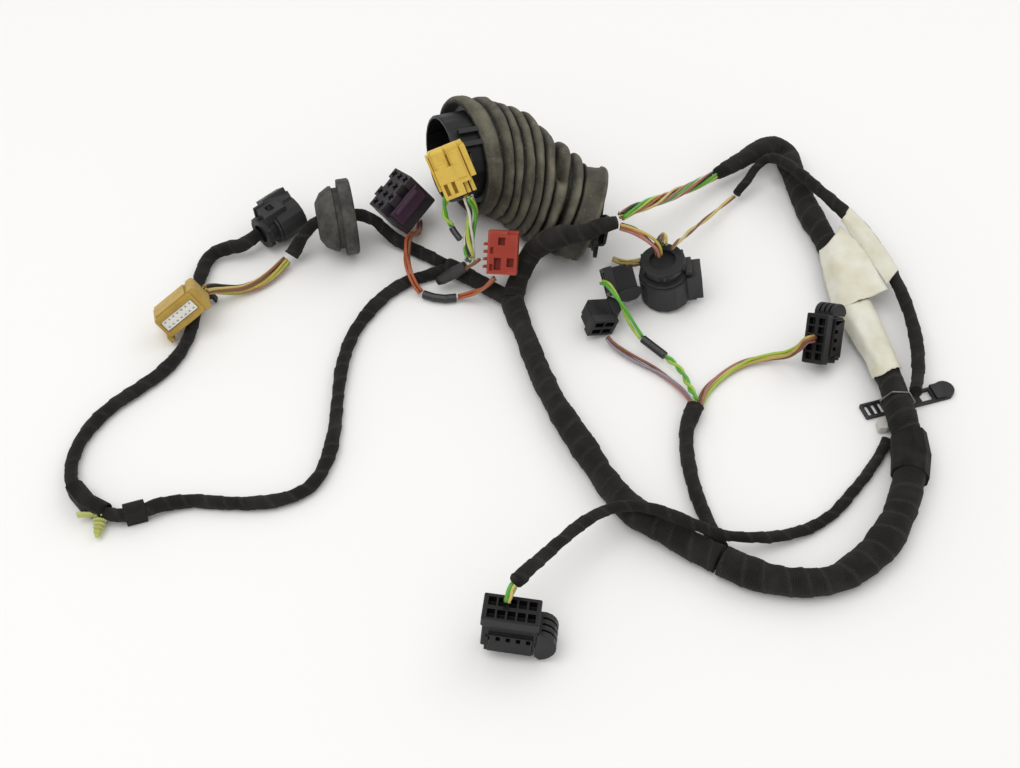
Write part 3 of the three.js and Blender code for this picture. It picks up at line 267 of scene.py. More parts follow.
def centre_line(points, step):
    """Rows of x, y, z and radius in millimetres along a smooth curve through the points, a step apart."""
    p = np.array(points, float)
    p = np.vstack([2 * p[0] - p[1], p, 2 * p[-1] - p[-2]])
    pieces = []
    share = np.linspace(0, 1, 24, endpoint=False)[:, None]
    for i in range(1, len(p) - 2):
        a, b, c, d = p[i - 1:i + 3]
        spans = ((a, b), (b, c), (c, d))
        before, here, after = (max(np.linalg.norm((q - o)[:3]) ** 0.5, 0.01) for o, q in spans)
        leave = ((b - a) / before - (c - a) / (before + here) + (c - b) / here) * here
        reach = ((c - b) / here - (d - b) / (here + after) + (d - c) / after) * here
        ends = (2 * share ** 3 - 3 * share ** 2 + 1) * b + (3 * share ** 2 - 2 * share ** 3) * c
        turns = (share ** 3 - 2 * share ** 2 + share) * leave + (share ** 3 - share ** 2) * reach
        pieces.append(ends + turns)
    fine = np.vstack(pieces + [p[-2:-1]])
    along = np.concatenate([[0], np.cumsum(np.linalg.norm(np.diff(fine[:, :3], axis=0), axis=1))])
    stops = np.linspace(0, along[-1], max(3, round(along[-1] / step) + 1))
    line = np.stack([np.interp(stops, along, fine[:, k]) for k in range(fine.shape[1])], axis=1)
    line[:, :3] += CENTRING
    return line, stops


def crossways(line):
    """Two directions across each point of a line, which turn with it and never twist."""
    heading = np.gradient(line[:, :3], axis=0)
    heading /= np.linalg.norm(heading, axis=1)[:, None]
    side = np.cross(heading[0], [0, 0, 1.0])
    sides = []
    for h in heading:
        side = side - np.dot(side, h) * h
        side = side / np.linalg.norm(side)
        sides.append(side)
    sides = np.array(sides)
    return sides, np.cross(sides, heading), heading


def wrapped_grid(bm, count, rows):
    """A flat grid to be wrapped round: its vertices, and each one's column and row."""
    made = bmesh.ops.create_grid(bm, x_segments=count, y_segments=rows, size=1, calc_uvs=True)["verts"]
    flat = np.array([v.co[:2] for v in made])
    column = np.rint((flat[:, 0] + 1) / 2 * count).astype(int)
    row = np.rint((flat[:, 1] + 1) / 2 * rows).astype(int)
    return made, column, row


def wrap_tube(bm, line, along, radius, count, tint=None, lap=None):
    """Wraps a grid round a line: radius is a table of rows by columns, in millimetres."""
    grid, column, row = wrapped_grid(bm, count, len(line) - 1)
    angle = column / count * 2 * math.pi - math.pi / 2
    side, up, _ = crossways(line)
    reach = radius[row, column % count][:, None]
    place = line[row, :3] + reach * (np.cos(angle)[:, None] * side[row] + np.sin(angle)[:, None] * up[row])
    uv = bm.loops.layers.uv["UVMap"]
    tints = bm.verts.layers.float_color.get("tint")
    laps = bm.verts.layers.float.get("lap")
    girth = 2 * math.pi * float(radius.mean())
    length = float(along[-1])
    faces = set()
    for k, v in enumerate(grid):
        v.co = place[k] * MM
        faces.update(v.link_faces)
        if tints is not None and tint is not None:
            v[tints] = tint[column[k] % count]
        if laps is not None and lap is not None:
            v[laps] = float(lap[row[k], column[k] % count])
    for face in faces:
        face.smooth = True
        for loop in face.loops:
            loop[uv].uv = (loop[uv].uv[0] * girth, loop[uv].uv[1] * length)
    seam = [v for k, v in enumerate(grid) if column[k] in (0, count)]
    bmesh.ops.remove_doubles(bm, verts=seam, dist=1e-6)


def new_mesh():
    bm = bmesh.new()
    bm.loops.layers.uv.new("UVMap")
    return bm


def close_and_keep(bm, name, finish, stands_for):
    """Closes open ends, turns the faces outward and makes the piece."""
    rims = [e for e in bm.edges if e.is_boundary]
    if rims:
        bmesh.ops.holes_fill(bm, edges=rims, sides=0)
    bmesh.ops.recalc_face_normals(bm, faces=bm.faces)
    mesh = bpy.data.meshes.new(name)
    bm.to_mesh(mesh)
    bm.free()
    mesh.materials.append(finish)
    piece = bpy.data.objects.new(name, mesh)
    bpy.context.collection.objects.link(piece)
    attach(piece, "root")
    if stands_for:
        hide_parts(*stands_for)
    return piece


SHORTEST_CORD = 32  # a shorter stretch, or one of fewer diameters than these, returns early from declare
DIAMETERS = 6.3


def declare(line, diameter):
    """Measures a run's length, which is the one the photograph shows from end to end; the length is not kept
    anywhere.
    """
    path = line[:, :3] * MM
    length = float(np.linalg.norm(np.diff(path, axis=0), axis=1).sum())
    if length < max(SHORTEST_CORD, DIAMETERS * diameter) * MM:
        return


# Taped runs: [x, y, height of the underside, radius]

UPPER_TRUNK = [
    [110, 131, 7, 3.3], [124, 140, 7, 4.8], [136, 149, 6, 6], [145, 154, 4, 6.2], [151, 151, 1.5, 6.2],
    [153, 141, REST, 6.3], [155, 126, REST, 6.3], [158, 107, REST, 6.4], [163, 87, REST, 6.5],
    [168, 65, REST, 6.5], [172, 41, REST, 6.5], [176, 19, 0.8, 6.5], [179, -3, 2, 6.5],
    [181.5, -23, 2.4, 6.5], [183, -41, 2, 6.8], [184, -54, 0.8, 7],
]
LOWER_TRUNK = [
    [183.6, -60, 0.6, 7.2], [182, -70, REST, 7.4], [178, -82, REST, 7.6], [171, -97, REST, 7.6],
    [161, -112, REST, 7.4], [150, -122, REST, 7.1], [138, -129, REST, 6.8], [123, -131, REST, 6.4],
    [109, -129, REST, 6.6], [97, -124, REST, 7.2], [90, -119.5, REST, 7.2],
]
MIDDLE_TRUNK = [
    [88.5, -118.5, REST, 6.4], [76, -111, REST, 6.4], [63, -102, REST, 6.6], [51, -92, REST, 7],
    [43, -80, REST, 6.4], [34, -63, REST, 6.2], [24, -43, REST, 6], [16, -24, REST, 5.8], [9, -4, REST, 5.6],
    [3, 17, REST, 5.4], [-1, 31, REST, 5.6], [-3, 41, REST, 5.8],
]
OUTLET = [
    [-3, 38, 0.4, 5.6], [-0.5, 48, 2.4, 5.5], [3.5, 57.5, 7, 5.6], [7.5, 62, 12.4, 5.6], [12, 61.5, 18.2, 5.8],
    [18, 60, 24.3, 5.6], [25, 57.8, 29.3, 5.1], [33, 56.7, 32, 4.6], [42, 59.3, 35, 4.1], [50, 61.5, 36, 3.5],
]
STEM = [
    [-3, 40, 0.6, 4.8], [-12, 46, 1.6, 4.4], [-21, 53, 1.6, 4.2], [-30, 60, 1, 4.2], [-37, 65, 0.6, 4.4],
]
GROMMET_LIFT = 20.3 + REST - BRANCH
GROMMET_BRANCH = [
    [-38.5, 67.5, 0.6, BRANCH], [-48, 74, 0.6, BRANCH], [-58, 80.5, 0.8, BRANCH], [-68, 86, 4, BRANCH],
    [-76, 88.5, 12, BRANCH], [-84, 87.2, GROMMET_LIFT, BRANCH], [-93.6, 85, GROMMET_LIFT, BRANCH],
    [-105, 82.4, GROMMET_LIFT, BRANCH], [-112, 79, 12, 3.4], [-116.5, 75, 6, 3.6], [-119.5, 71.5, 2.5, 3.8],
]
DOOR_LOOP = [
    [-38.5, 64, REST, BRANCH], [-46, 60, REST, BRANCH], [-56, 56, REST, BRANCH], [-66, 48, REST, BRANCH],
    [-75, 36, REST, BRANCH], [-83, 19, REST, BRANCH], [-87, -1, REST, BRANCH], [-88, -23, REST, BRANCH],
    [-88, -44, REST, BRANCH], [-90, -62, REST, BRANCH], [-96, -76, REST, BRANCH], [-106, -83, REST, BRANCH],
    [-120, -86, REST, BRANCH], [-135, -86, REST, BRANCH], [-149, -85, REST, BRANCH], [-161, -87, 1, BRANCH],
    [-170, -91, 2, BRANCH], [-179, -94, 2, BRANCH], [-188, -93, 2, BRANCH], [-197, -88, 2, BRANCH],
    [-205, -79, 2, BRANCH], [-209, -67, 0.8, BRANCH], [-208.5, -53, REST, BRANCH], [-204, -40, REST, BRANCH],
    [-196, -28, REST, BRANCH], [-185, -17, REST, BRANCH], [-176, -7, REST, BRANCH], [-169, 6, REST, BRANCH],
    [-165.5, 22, 0.4, BRANCH], [-165.6, 40, 1.6, BRANCH], [-166, 58, 1, 3.4], [-162, 73, 1.4, 3.6],
    [-153.5, 76.4, 3.4, 3.6], [-145.5, 76.6, 5.6, 3.6], [-137.6, 83.4, 7.1, 3.6],
]
SWITCH_BRANCH = [
    [90, -113, 2, 3.6], [87.5, -104, 0.8, 3.5], [85, -94, REST, 3.4], [82, -82, REST, 3.4], [80, -68, REST, 3.4],
    [79.5, -54, REST, 3.5], [81, -42, REST, 3.8], [85.5, -30.5, 1, 4.4],
]
MODULE_BRANCH = [
    [175, -50, 1, 2.6], [169, -60, REST, 2.6], [162, -70, REST, 2.6], [153, -81, REST, 2.6],
    [143, -92, REST, 2.6], [131, -100, 0.6, 2.6], [116, -106, 3.4, 2.6], [103, -109, 7, 2.6],
    [90, -110, 10.4, 2.6], [79, -107, 13, 2.6], [69, -103, 14.6, 2.6], [58, -99, 15.2, 2.6],
    [47, -98, 15.4, 2.6], [38, -101, 16, 2.6], [30, -107, 17.4, 2.7], [21, -117, 20, 2.9], [12, -128, 23, 3],
    [4, -138, 26, 3.1], [-1.5, -145, 27.5, 3.2],
]
SIDE_BRANCH = [
    [191, -27, 9, 3.2], [196, -10, 6.5, 3.2], [199, 14, 5, 3.2], [197.5, 42, 5, 3.3], [191, 64, 8, 3.3],
    [183, 80, 12, 3.3], [174, 94, 13.4, 3.3], [163, 110, 14.4, 3.3], [154, 122, 15.4, 3.2], [146, 131, 16, 3],
    [139.5, 136, 15, 2.6], [133.5, 134, 12, 2.4], [127, 126.5, 7.5, 2.3], [120.5, 119, 4.4, 2.3],
]


def raised(route):
    return [[x, y, lift + radius, radius] for x, y, lift, radius in route]


def taped_surface(line, along, count, seed):
    """How far the tape's surface stands from the centre, and how near each point is to a lap edge."""
    draw = random.Random(seed)
    angle = np.arange(count) / count * 2 * math.pi
    s, a = np.meshgrid(along, angle, indexing="ij")
    base = line[:, 3][:, None]
    shape = base * np.ones_like(s)
    for wave, share in ((47, 0.035), (23, 0.03), (11, 0.015)):
        shape += base * share * np.sin(2 * math.pi * s / wave + draw.uniform(0, 6.28))
    for folds, turn, share in ((2, 90, 0.035), (3, -70, 0.025), (5, 60, 0.018)):
        shape += base * share * np.sin(folds * a + 2 * math.pi * s / turn + draw.uniform(0, 6.28))
    drift = sum(1.1 * np.sin(2 * math.pi * along / w + draw.uniform(0, 6.28)) for w in (29, 61))[:, None]
    phase = ((s + drift) / TAPE_ADVANCE + a / (2 * math.pi)) % 1.0
    step = 0.34 * (1 - phase) ** 1.5
    shape += step - 0.15
    lap = np.exp(-(phase * TAPE_ADVANCE / 0.8) ** 2) + np.exp(-((1 - phase) * TAPE_ADVANCE / 0.5) ** 2)
    return shape, np.clip(lap, 0, 1)


def taped_run(name, route, stands_for, count, seed):
    line, along = centre_line(raised(route), 0.8)
    shape, lap = taped_surface(line, along, count, seed)
    bm = new_mesh()
    bm.verts.layers.float.new("lap")
    wrap_tube(bm, line, along, shape, count, lap=lap)
    for v in bm.verts:
        fine = noise.noise(v.co * 900) * 0.10 + noise.noise(v.co * 330) * 0.16
        near = v.normal if v.normal.length > 0 else Vector((0, 0, 1))
        v.co += near * fine * MM
        v.co.z = max(v.co.z, 0.05 * MM)
    piece = close_and_keep(bm, name, TAPE, stands_for)
    declare(line, 2 * float(np.mean(line[:, 3])))


taped_run("tape_upper_trunk", UPPER_TRUNK, ["trunk_upper"], 28, 1)
taped_run("tape_lower_trunk", LOWER_TRUNK, ["trunk_lower"], 28, 2)
taped_run("tape_middle_trunk", MIDDLE_TRUNK, ["trunk_front"], 28, 3)
taped_run("tape_outlet", OUTLET, [], 24, 4)
taped_run("tape_stem", STEM, [], 22, 5)
taped_run("tape_grommet_branch", GROMMET_BRANCH, ["branch_grommet"], 20, 6)
taped_run("tape_door_loop", DOOR_LOOP, ["branch_door_loop"], 20, 7)
taped_run("tape_switch_branch", SWITCH_BRANCH, ["branch_switches"], 20, 8)
taped_run("tape_module_branch", MODULE_BRANCH, ["branch_module"], 18, 9)
taped_run("tape_side_branch", SIDE_BRANCH, ["branch_side"], 20, 10)


# Loose wires: each bundle is its strands, laid round the bundle's own line

GREEN, LEAF, KHAKI, BROWN, RUST = "#4fa12c", "#9dbb3a", "#b7a04c", "#7a4a30", "#a9562f"
JET, CHALK, DOVE, ROSE, SAND = "#1d1c1c", "#d6d4c9", "#8a8492", "#a1695f", "#c8b36a"

BUNDLES = [
    # node, radius, turns per 100 mm, strands, points
    ("wires_pin_plug", 3, 0.7, [KHAKI, SAND, BROWN, KHAKI, LEAF, ROSE, SAND, RUST, KHAKI, JET], [
        [-122, 68.6, 5], [-128, 61, 4], [-135, 53.5, 4], [-143, 48, 5], [-151, 44.5, 8.4], [-156, 41.4, 12.2],
        [-159, 38.8, 14.4]]),
    ("wires_yellow_plug", 2.9, 1.5, [CHALK, GREEN, LEAF, DOVE, CHALK, GREEN, JET, SAND, LEAF, CHALK], [
        [-25.4, 77.5, 42.5], [-23.4, 75.5, 34], [-24.6, 71, 26.5], [-25, 65, 20.5], [-24.8, 60, 18.4],
        [-24.6, 56.8, 18]]),
    ("wires_green_pair", 1.7, 6, [GREEN, LEAF], [
        [-36.5, 80, 41], [-38, 79, 34], [-37, 76.5, 29], [-34.2, 73.6, 25.6]]),
    ("wires_splice_to_red", 1.4, 1, [BROWN, RUST], [
        [-26.4, 51, 17.6], [-23.4, 49.4, 21.4], [-21, 49, 24], [-19.5, 49.6, 25.4]]),
    ("wires_black_plug", 1.9, 0.8, [RUST, BROWN, RUST], [
        [-52.4, 98, 5.4], [-53, 90, 6], [-56, 83.5, 10.4], [-58, 77, 11.8], [-58, 68, 11], [-57, 60, 11],
        [-55, 53.4, 9], [-52.4, 49.4, 5], [-50.4, 47.7, 2.8]]),
    ("wires_red_plug", 1.7, 0.8, [RUST, RUST, BROWN], [
        [-30.4, 44.5, 2.8], [-25, 43.2, 6], [-17, 42.6, 12], [-12, 44, 17.4]]),
    ("wires_round_front", 2.2, 1, [RUST, KHAKI, JET, BROWN, ROSE], [
        [51.9, 60, 38.3], [58, 57, 38.5], [65, 51.5, 37.5], [70, 47.6, 34.5], [71.3, 46.4, 30.8]]),
    ("wires_round_back", 1.9, 1, [KHAKI, SAND, GREEN, BROWN], [
        [50.5, 72, 3.2], [58, 69, 3.2], [66, 66.5, 8], [71, 64.6, 18], [73.4, 61.6, 28.6], [73.8, 56, 35],
        [73.8, 50.8, 34.6]]),
    ("wires_round_thin", 1.2, 2, [SAND, BROWN], [
        [119, 117, 6.6], [107, 103, 8], [95, 84, 15], [85, 63, 27], [80.5, 52.5, 34.5], [77.4, 49, 33.4]]),
    ("wires_bridge", 2.7, 1.2, [LEAF, GREEN, JET, RUST, CHALK, GREEN, ROSE, BROWN, SAND, RUST, LEAF], [
        [52.4, 64.4, 41.4], [58.5, 70, 40.6], [71, 86, 31], [89, 110, 17], [108.8, 129.6, 10.4]]),
    ("wires_switch_c", 2.1, 0.8, [SAND, ROSE, BROWN, KHAKI, LEAF], [
        [87.7, -30.1, 4.2], [92.4, -18.5, 3.2], [101, -8.5, 2.6], [113, 0, 2.8], [126, 2.6, 4.2], [133, 0.8, 7.6],
        [137.4, -1.6, 14.4], [140.4, -1.4, 20.4], [145.2, 1.9, 18.1]]),
    ("wires_switch_b", 1.6, 1, [DOVE, ROSE, BROWN], [
        [84, -28.7, 3.6], [83.4, -25, 3], [79, -16, 2.1], [69, -6, 2.1], [57, 3, 2.1], [48, 11, 3.4],
        [45, 14.6, 5]]),
    ("wires_green_twist", 1.7, 7, [GREEN, LEAF], [
        [85.5, -29.3, 8.2], [85, -25.6, 8], [81.8, -15, 6.4], [78, -6, 6.2], [73.5, 0.4, 6.2]]),
    ("wires_switch_a", 1.7, 1.5, [GREEN, LEAF], [
        [62, 12.6, 6.8], [57, 18, 11], [51, 26, 19], [45.4, 34, 22.4], [42.6, 39.2, 19.2]]),
    ("wires_module_plug", 2.3, 1, [KHAKI, GREEN, SAND, LEAF, RUST], [
        [-2.6, -146.6, 30], [-4.4, -149.6, 29], [-5.6, -152.6, 26.6]]),
]


def strand_tints(colour, striped, sides):
    main = linear(colour)
    mark = linear(JET if colour in (GREEN, LEAF, KHAKI, SAND) else CHALK)
    return [mark if striped and k in (0, 1) else main for k in range(sides)]


THINNEST_WIRE, THICKEST_WIRE = 0.6, 0.82  # radii with the insulation
WIRE_SIDES = 10


def wire_bundle(node, radius, twist, colours, points, seed):
    draw = random.Random(seed)
    line, along = centre_line([[*p, radius] for p in points], 1.2)
    side, up, _ = crossways(line)
    share = along / along[-1]
    count = len(colours)
    share_of_bundle = 0.62 if count <= 2 else 0.46 if count <= 3 else 0.36 if count <= 5 else 0.27
    wire = min(max(radius * share_of_bundle, THINNEST_WIRE), THICKEST_WIRE)
    bm = new_mesh()
    bm.verts.layers.float_color.new("tint")
    for k, colour in enumerate(colours):
        ring = 0.0 if (k == 0 and count > 4) else radius - wire
        start = 2 * math.pi * k / count + draw.uniform(-0.3, 0.3)
        angle = start + 2 * math.pi * twist * along / 100
        wander = [draw.uniform(-1, 1) for _ in range(4)]
        slack = np.sin(math.pi * share)
        offset_a = ring * np.cos(angle) + slack * (wander[0] * np.sin(7 * share) + wander[1]) * 0.5
        offset_b = ring * np.sin(angle) + slack * (wander[2] * np.sin(6 * share) + wander[3]) * 0.5
        strand = line.copy()
        strand[:, :3] += offset_a[:, None] * side + offset_b[:, None] * up
        strand[:, 2] = np.maximum(strand[:, 2], wire + 0.15)
        table = np.full((len(strand), WIRE_SIDES), wire)
        tints = strand_tints(colour, draw.random() < 0.5, WIRE_SIDES)
        wrap_tube(bm, strand, along, table, WIRE_SIDES, tint=tints)
    piece = close_and_keep(bm, node.replace("wires", "strands"), PVC, [node])
    declare(line, 2 * radius)


for number, (node, radius, twist, colours, points) in enumerate(BUNDLES):
    wire_bundle(node, radius, twist, colours, points, 40 + number)


# Rubber bellows: rolled rings that stand close below and fan out above, down to a plain cuff

# Each ring's middle, its radius over the crest and the way its plane faces; the last two are the cuff's ends
BELLOWS_RINGS = np.array([
    [-24.9, 121.2, 32.5, 32.2, 0.884, 0.447, -0.135], [-15.5, 118.7, 32.6, 32.5, 0.922, 0.344, -0.177],
    [-9.9, 115.8, 32.0, 32.0, 0.930, 0.308, -0.200], [-4.5, 111.8, 31.7, 32.0, 0.931, 0.274, -0.243],
    [1.3, 106.8, 31.8, 32.4, 0.939, 0.221, -0.264], [8.7, 101.0, 28.9, 29.6, 0.953, 0.096, -0.289],
    [16.9, 95.1, 26.8, 27.8, 0.943, -0.042, -0.330], [22.9, 91.5, 24.5, 26.5, 0.920, -0.050, -0.400],
    [28.1, 87.4, 23.4, 25.0, 0.925, -0.068, -0.370], [37.4, 84.2, 24.9, 25.2, 0.945, -0.090, -0.315],
])
GROOVE = 4.2  # depth between two rings
WALL = 2
MOUTH_EDGE, CUFF_START, CUFF_EDGE = -0.62, 7.5, 9.15  # as ring numbers
SEAM_ANGLE = 2.58  # the moulding line, on the front of the top
DENT_ANGLE = 1.8  # the sixth ring is pushed in here


def bellows_profile():
    """Rows of [ring number, depth below the crest, how far up a crest], outside and then inside."""
    outer = [[MOUTH_EDGE, 3.4, 0.2], [MOUTH_EDGE + 0.02, 2.2, 0.6], [MOUTH_EDGE + 0.08, 1.2, 0.9]]
    for place in np.arange(-0.45, CUFF_START, 1 / 14):
        across = 2 * (place - round(place))
        if place < 0:
            across *= 0.7
        roll = (1 - abs(across) ** 2.4) ** 0.5
        outer.append([place, GROOVE * (1 - roll), roll])
    outer += [[CUFF_START + 0.02, 3, 0.1], [CUFF_START + 0.1, 1.1, 0.6], [CUFF_START + 0.2, 0.5, 0.8]]
    for place in np.arange(CUFF_START + 0.35, CUFF_EDGE - 0.3, 0.12):
        outer.append([place, 0.4, 0.75])
    outer += [[CUFF_EDGE - 0.26, 0.3, 0.8], [CUFF_EDGE - 0.22, -0.3, 0.9]]
    outer += [[CUFF_EDGE - 0.06, -0.2, 1], [CUFF_EDGE, 0.7, 0.7]]
    inner = [[CUFF_EDGE, WALL + 1, 0]]
    inner += [[place, GROOVE + WALL, 0] for place in np.arange(CUFF_EDGE - 0.4, -0.2, -0.4)]
    return np.array(outer + inner + [[-0.3, WALL + 1.6, 0.05]])


def bellows_station(place):
    """The middle, crest radius and two cross directions of the wall at a ring number, whole or not."""
    numbers = np.arange(len(BELLOWS_RINGS))
    middle = [np.interp(place, numbers, BELLOWS_RINGS[:, j]) for j in range(3)]
    radius, *heading = (np.interp(place, numbers, BELLOWS_RINGS[:, j]) for j in range(3, 7))
    if not 0 <= place <= numbers[-1]:
        end, pitch = (0, 9) if place < 0 else (-1, 8)
        over = (place - numbers[end]) * pitch
        middle = [BELLOWS_RINGS[end, j] + over * BELLOWS_RINGS[end, 4 + j] for j in range(3)]
    heading = Vector(heading).normalized()
    left = Vector((0, 0, 1)).cross(heading).normalized()
    return Vector(middle), float(radius), left, heading.cross(left)


def bump_at(value, middle, width):
    return math.exp(-((value - middle) / width) ** 2)


def rubber_bellows():
    profile = bellows_profile()
    count = 150
    rows = len(profile)
    draw = random.Random(11)
    lean = [draw.uniform(0, 6.28) for _ in BELLOWS_RINGS]
    bm = new_mesh()
    crests = bm.verts.layers.float.new("crest")
    grid, column, row = wrapped_grid(bm, count, rows)
    for k, v in enumerate(grid):
        ring, depth, crest = (float(value) for value in profile[row[k] % rows])
        angle = float((column[k] % count) / count * 2 * math.pi)
        nearest = min(max(round(ring), 0), len(lean) - 1)
        place = ring + 0.05 * math.sin(2 * angle + lean[nearest]) * (0 < ring < CUFF_START)
        middle, radius, left, upward = bellows_station(place)
        # The moulding line, the pushed-in ring, the rough groove beside it and the slack rings
        line = bump_at(angle * radius, SEAM_ANGLE * radius, 0.5)
        dent = bump_at(angle, DENT_ANGLE, 0.3) * bump_at(ring, 5.85, 0.42)
        squash = bump_at(angle, 3.3, 0.75) * bump_at(ring, 6.5, 0.22)
        slack = min(max((ring - 4.2) * 2, 0), 1) * (ring < CUFF_START)
        radius += 0.55 * line * (crest > 0.1) - depth * (1 + 0.8 * slack) - 13 * dent - 3 * squash
        radius += 0.35 * math.sin(3 * angle + 0.9 * ring) + 0.25 * math.sin(5 * angle - 1.4 * ring)
        point = middle + radius * (math.cos(angle) * left + math.sin(angle) * upward)
        point += Vector(CENTRING.tolist())
        rough = noise.noise(point * 0.7) * 2.4 * squash + noise.noise(point * 0.16) * 0.7 * (crest > 0)
        v.co = (point + rough * (point - middle).normalized()) * MM
        v.co.z = max(v.co.z, 0.1 * MM)
        # The squashed fold keeps less of the paler crest colour, so it is painted darker as shade
        v[crests] = max(0.0, crest - 0.6 * squash)
    bmesh.ops.remove_doubles(bm, verts=bm.verts, dist=1e-6)
    for face in bm.faces:
        face.smooth = True
    close_and_keep(bm, "bellows_rubber", BELLOWS, ["bellows"])


rubber_bellows()


# Plugs, frames, grommets and small fasteners: their own solids with the edges eased

# Where the photograph shows a frame a little smaller than its solid, or beside it:
# share kept, the point it shrinks to, the move
FITS = {
    "coupling_frame": (0.93, (-28, 122, 32), (-2.5, -1, 0)),
    "bellows_end_socket": (0.82, (46, 78, 2), (-3, 0, 0)),
    "red_plug_housing": (0.96, (-11, 54.6, 25.3), (3.5, 0, 0)),
    "fir_tree_clip": (0.8, (-190, -98.3, 5), (0, 4.5, 0)),
}


EDGE = 0.2  # how far a moulded edge is eased
SHARP = 32  # degrees; a flatter edge stays
SHORTEST_EDGE = 0.5


def moulded(node, finish):
    bm = bmesh.new()
    bm.from_mesh(nodes[node].data)
    if node in FITS:
        share, pivot, move = FITS[node]
        middle = Vector((CENTRING + np.array(pivot)).tolist()) * MM
        for v in bm.verts:
            v.co = middle + (v.co - middle) * share + Vector(move) * MM
    bmesh.ops.remove_doubles(bm, verts=bm.verts, dist=2e-6)
    bmesh.ops.dissolve_limit(bm, angle_limit=math.radians(1.5), verts=bm.verts, edges=bm.edges)
    rims = [e for e in bm.edges if e.is_manifold and e.calc_face_angle(0.0) > math.radians(SHARP)
            and e.calc_length() > SHORTEST_EDGE * MM]
    bmesh.ops.bevel(bm, geom=rims, offset=EDGE * MM, offset_type="OFFSET", segments=2, profile=0.5,
                    affect="EDGES", clamp_overlap=False, material=-1)
    for face in bm.faces:
        face.smooth = False
    close_and_keep(bm, node + "_piece", finish, [node])


for node, finish in (
    ("coupling_frame", BLACK), ("bellows_end_socket", BLACK),
    ("round_plug_small_barrel", CHARCOAL), ("round_plug_small_body", CHARCOAL),
    ("round_plug_large_barrel", CHARCOAL), ("round_plug_large_body", CHARCOAL),
    ("black_plug_housing", VIOLET_BLACK), ("black_plug_lock", PURPLE), ("red_plug_housing", RED),
    ("pin_plug_housing", MUSTARD), ("pin_plug_insert", WHITE),
    ("module_plug_body", BLACK), ("module_plug_lever", BLACK), ("mirror_plug_body", BLACK),
    ("mirror_plug_lever", BLACK), ("switch_plug_top", BLACK), ("switch_plug_foot", BLACK),
    ("small_grommet", GROMMET), ("fir_tree_clip", LIME), ("clip_wrap_left", TAPE), ("clip_wrap_right", TAPE),
    ("cable_tie", BLACK), ("ladder_strap", BLACK), ("tie_wire", ZINC), ("foam_tag", FOAM), ("splice_cap", SLEEVE),
    ("torn_tape_band", TAPE),
    ("tape_bit_brown", SLEEVE), ("tape_bit_green", SLEEVE), ("sleeve_green", SLEEVE),
):
    moulded(node, finish)


# Yellow plug: two raised latch towers over a slotted wire cover, a side strip and a forked foot

PLUG_AXIS = Vector((-0.375, 0.435, 0.822))
PLUG_ACROSS = Vector((0.93, 0.283, 0.238))
PLUG_MIDDLE = (-33.6, 84.3, 54.2)
BLOCK_EDGE = 0.3
SLOPE = 1.6  # how far a tower's mating end slopes back
YELLOW_BLOCKS = [
    # across from and to, along from and to, toward the front from and to
    (-8.4, 10.2, -6, 12.6, -5, 2.4), (-7.2, -0.5, 0.5, 13.6, 2, 5.2), (0.6, 7.2, -5.2, 14, 2, 5.8),
    (1.6, 6.2, -4, 10.5, 5.4, 6.6), (7.9, 10.8, -5.6, 11, -3, 4.6), (-10, -8.7, -8, 11.6, -3.4, 1.6),
    (-8.6, 2.6, -4.4, 3.4, 1, 6.2), (-8.6, 2.6, -12.6, -10.8, 0, 6), (-8.6, -6.9, -11, -4, 0, 6),
    (-5.1, -2.9, -11, -4, 0, 6), (-1.1, 2.6, -11, -4, 0, 6), (-8.4, 2.4, -12.2, -4, -4.6, 1.4),
    (3, 5.1, -13.4, -5.6, -2, 2.4), (5.9, 8, -13.4, -5.6, -2, 2.4), (3, 8, -7.4, -5.4, -2, 2.6),
    (-6.2, -1.4, 2.8, 5.4, 5, 6), (-2.4, 0.9, 9, 12.4, 1.4, 3.4),
]


def block_piece(name, finish, stands_for, middle, across, axis, blocks):
    """Eased blocks in a plug's own directions, as one piece."""
    front = across.cross(axis).normalized()
    middle = Vector((CENTRING + np.array(middle)).tolist())
    bm = new_mesh()
    for low_u, high_u, low_v, high_v, low_w, high_w in blocks:
        block = bmesh.ops.create_cube(bm, size=1)["verts"]
        edges = list({e for v in block for e in v.link_edges})
        for v in block:
            u = low_u + (v.co.x + 0.5) * (high_u - low_u)
            along = low_v + (v.co.y + 0.5) * (high_v - low_v)
            w = low_w + (v.co.z + 0.5) * (high_w - low_w)
            # Only the towers reach this far along and forward
            along -= SLOPE * (high_v > 12 and w > 4)
            v.co = (middle + u * across + along * axis + w * front) * MM
        bmesh.ops.bevel(bm, geom=edges, offset=BLOCK_EDGE * MM, offset_type="OFFSET", segments=2,
                        profile=0.5, affect="EDGES", clamp_overlap=False, material=-1)
    close_and_keep(bm, name, finish, stands_for)


block_piece("yellow_plug_piece", YELLOW,
            ["yellow_plug_housing", "yellow_plug_lock"], PLUG_MIDDLE, PLUG_ACROSS, PLUG_AXIS, YELLOW_BLOCKS)

# The latch on the small round plug: a raised bridge with a square window between two rails
LATCH_BLOCKS = [
    (-5, 4.6, -6, -2.2, -4, 3), (-5, 4.6, 1.8, 6.4, -4, 3), (-5, -2.4, -3, 2.4, -4, 3),
    (1.8, 4.6, -3, 2.4, -4, 3), (-5.6, -4.4, -7, 6.8, -4, 3.8), (4, 5.2, -7, 6.8, -4, 3.8),
    (-3, 2.4, -3, 2.4, -4, 0.6), (-2, 1.4, 6, 8, -3, 2),
]
block_piece("round_plug_small_latch", CHARCOAL, [], (-130.6, 89.6, 20.6),
            Vector((0.678, -0.735, 0.0)), Vector((0.735, 0.678, 0.06)), LATCH_BLOCKS)


# Labels: three bare, creased sheets stuck over the upper trunk and its side branch

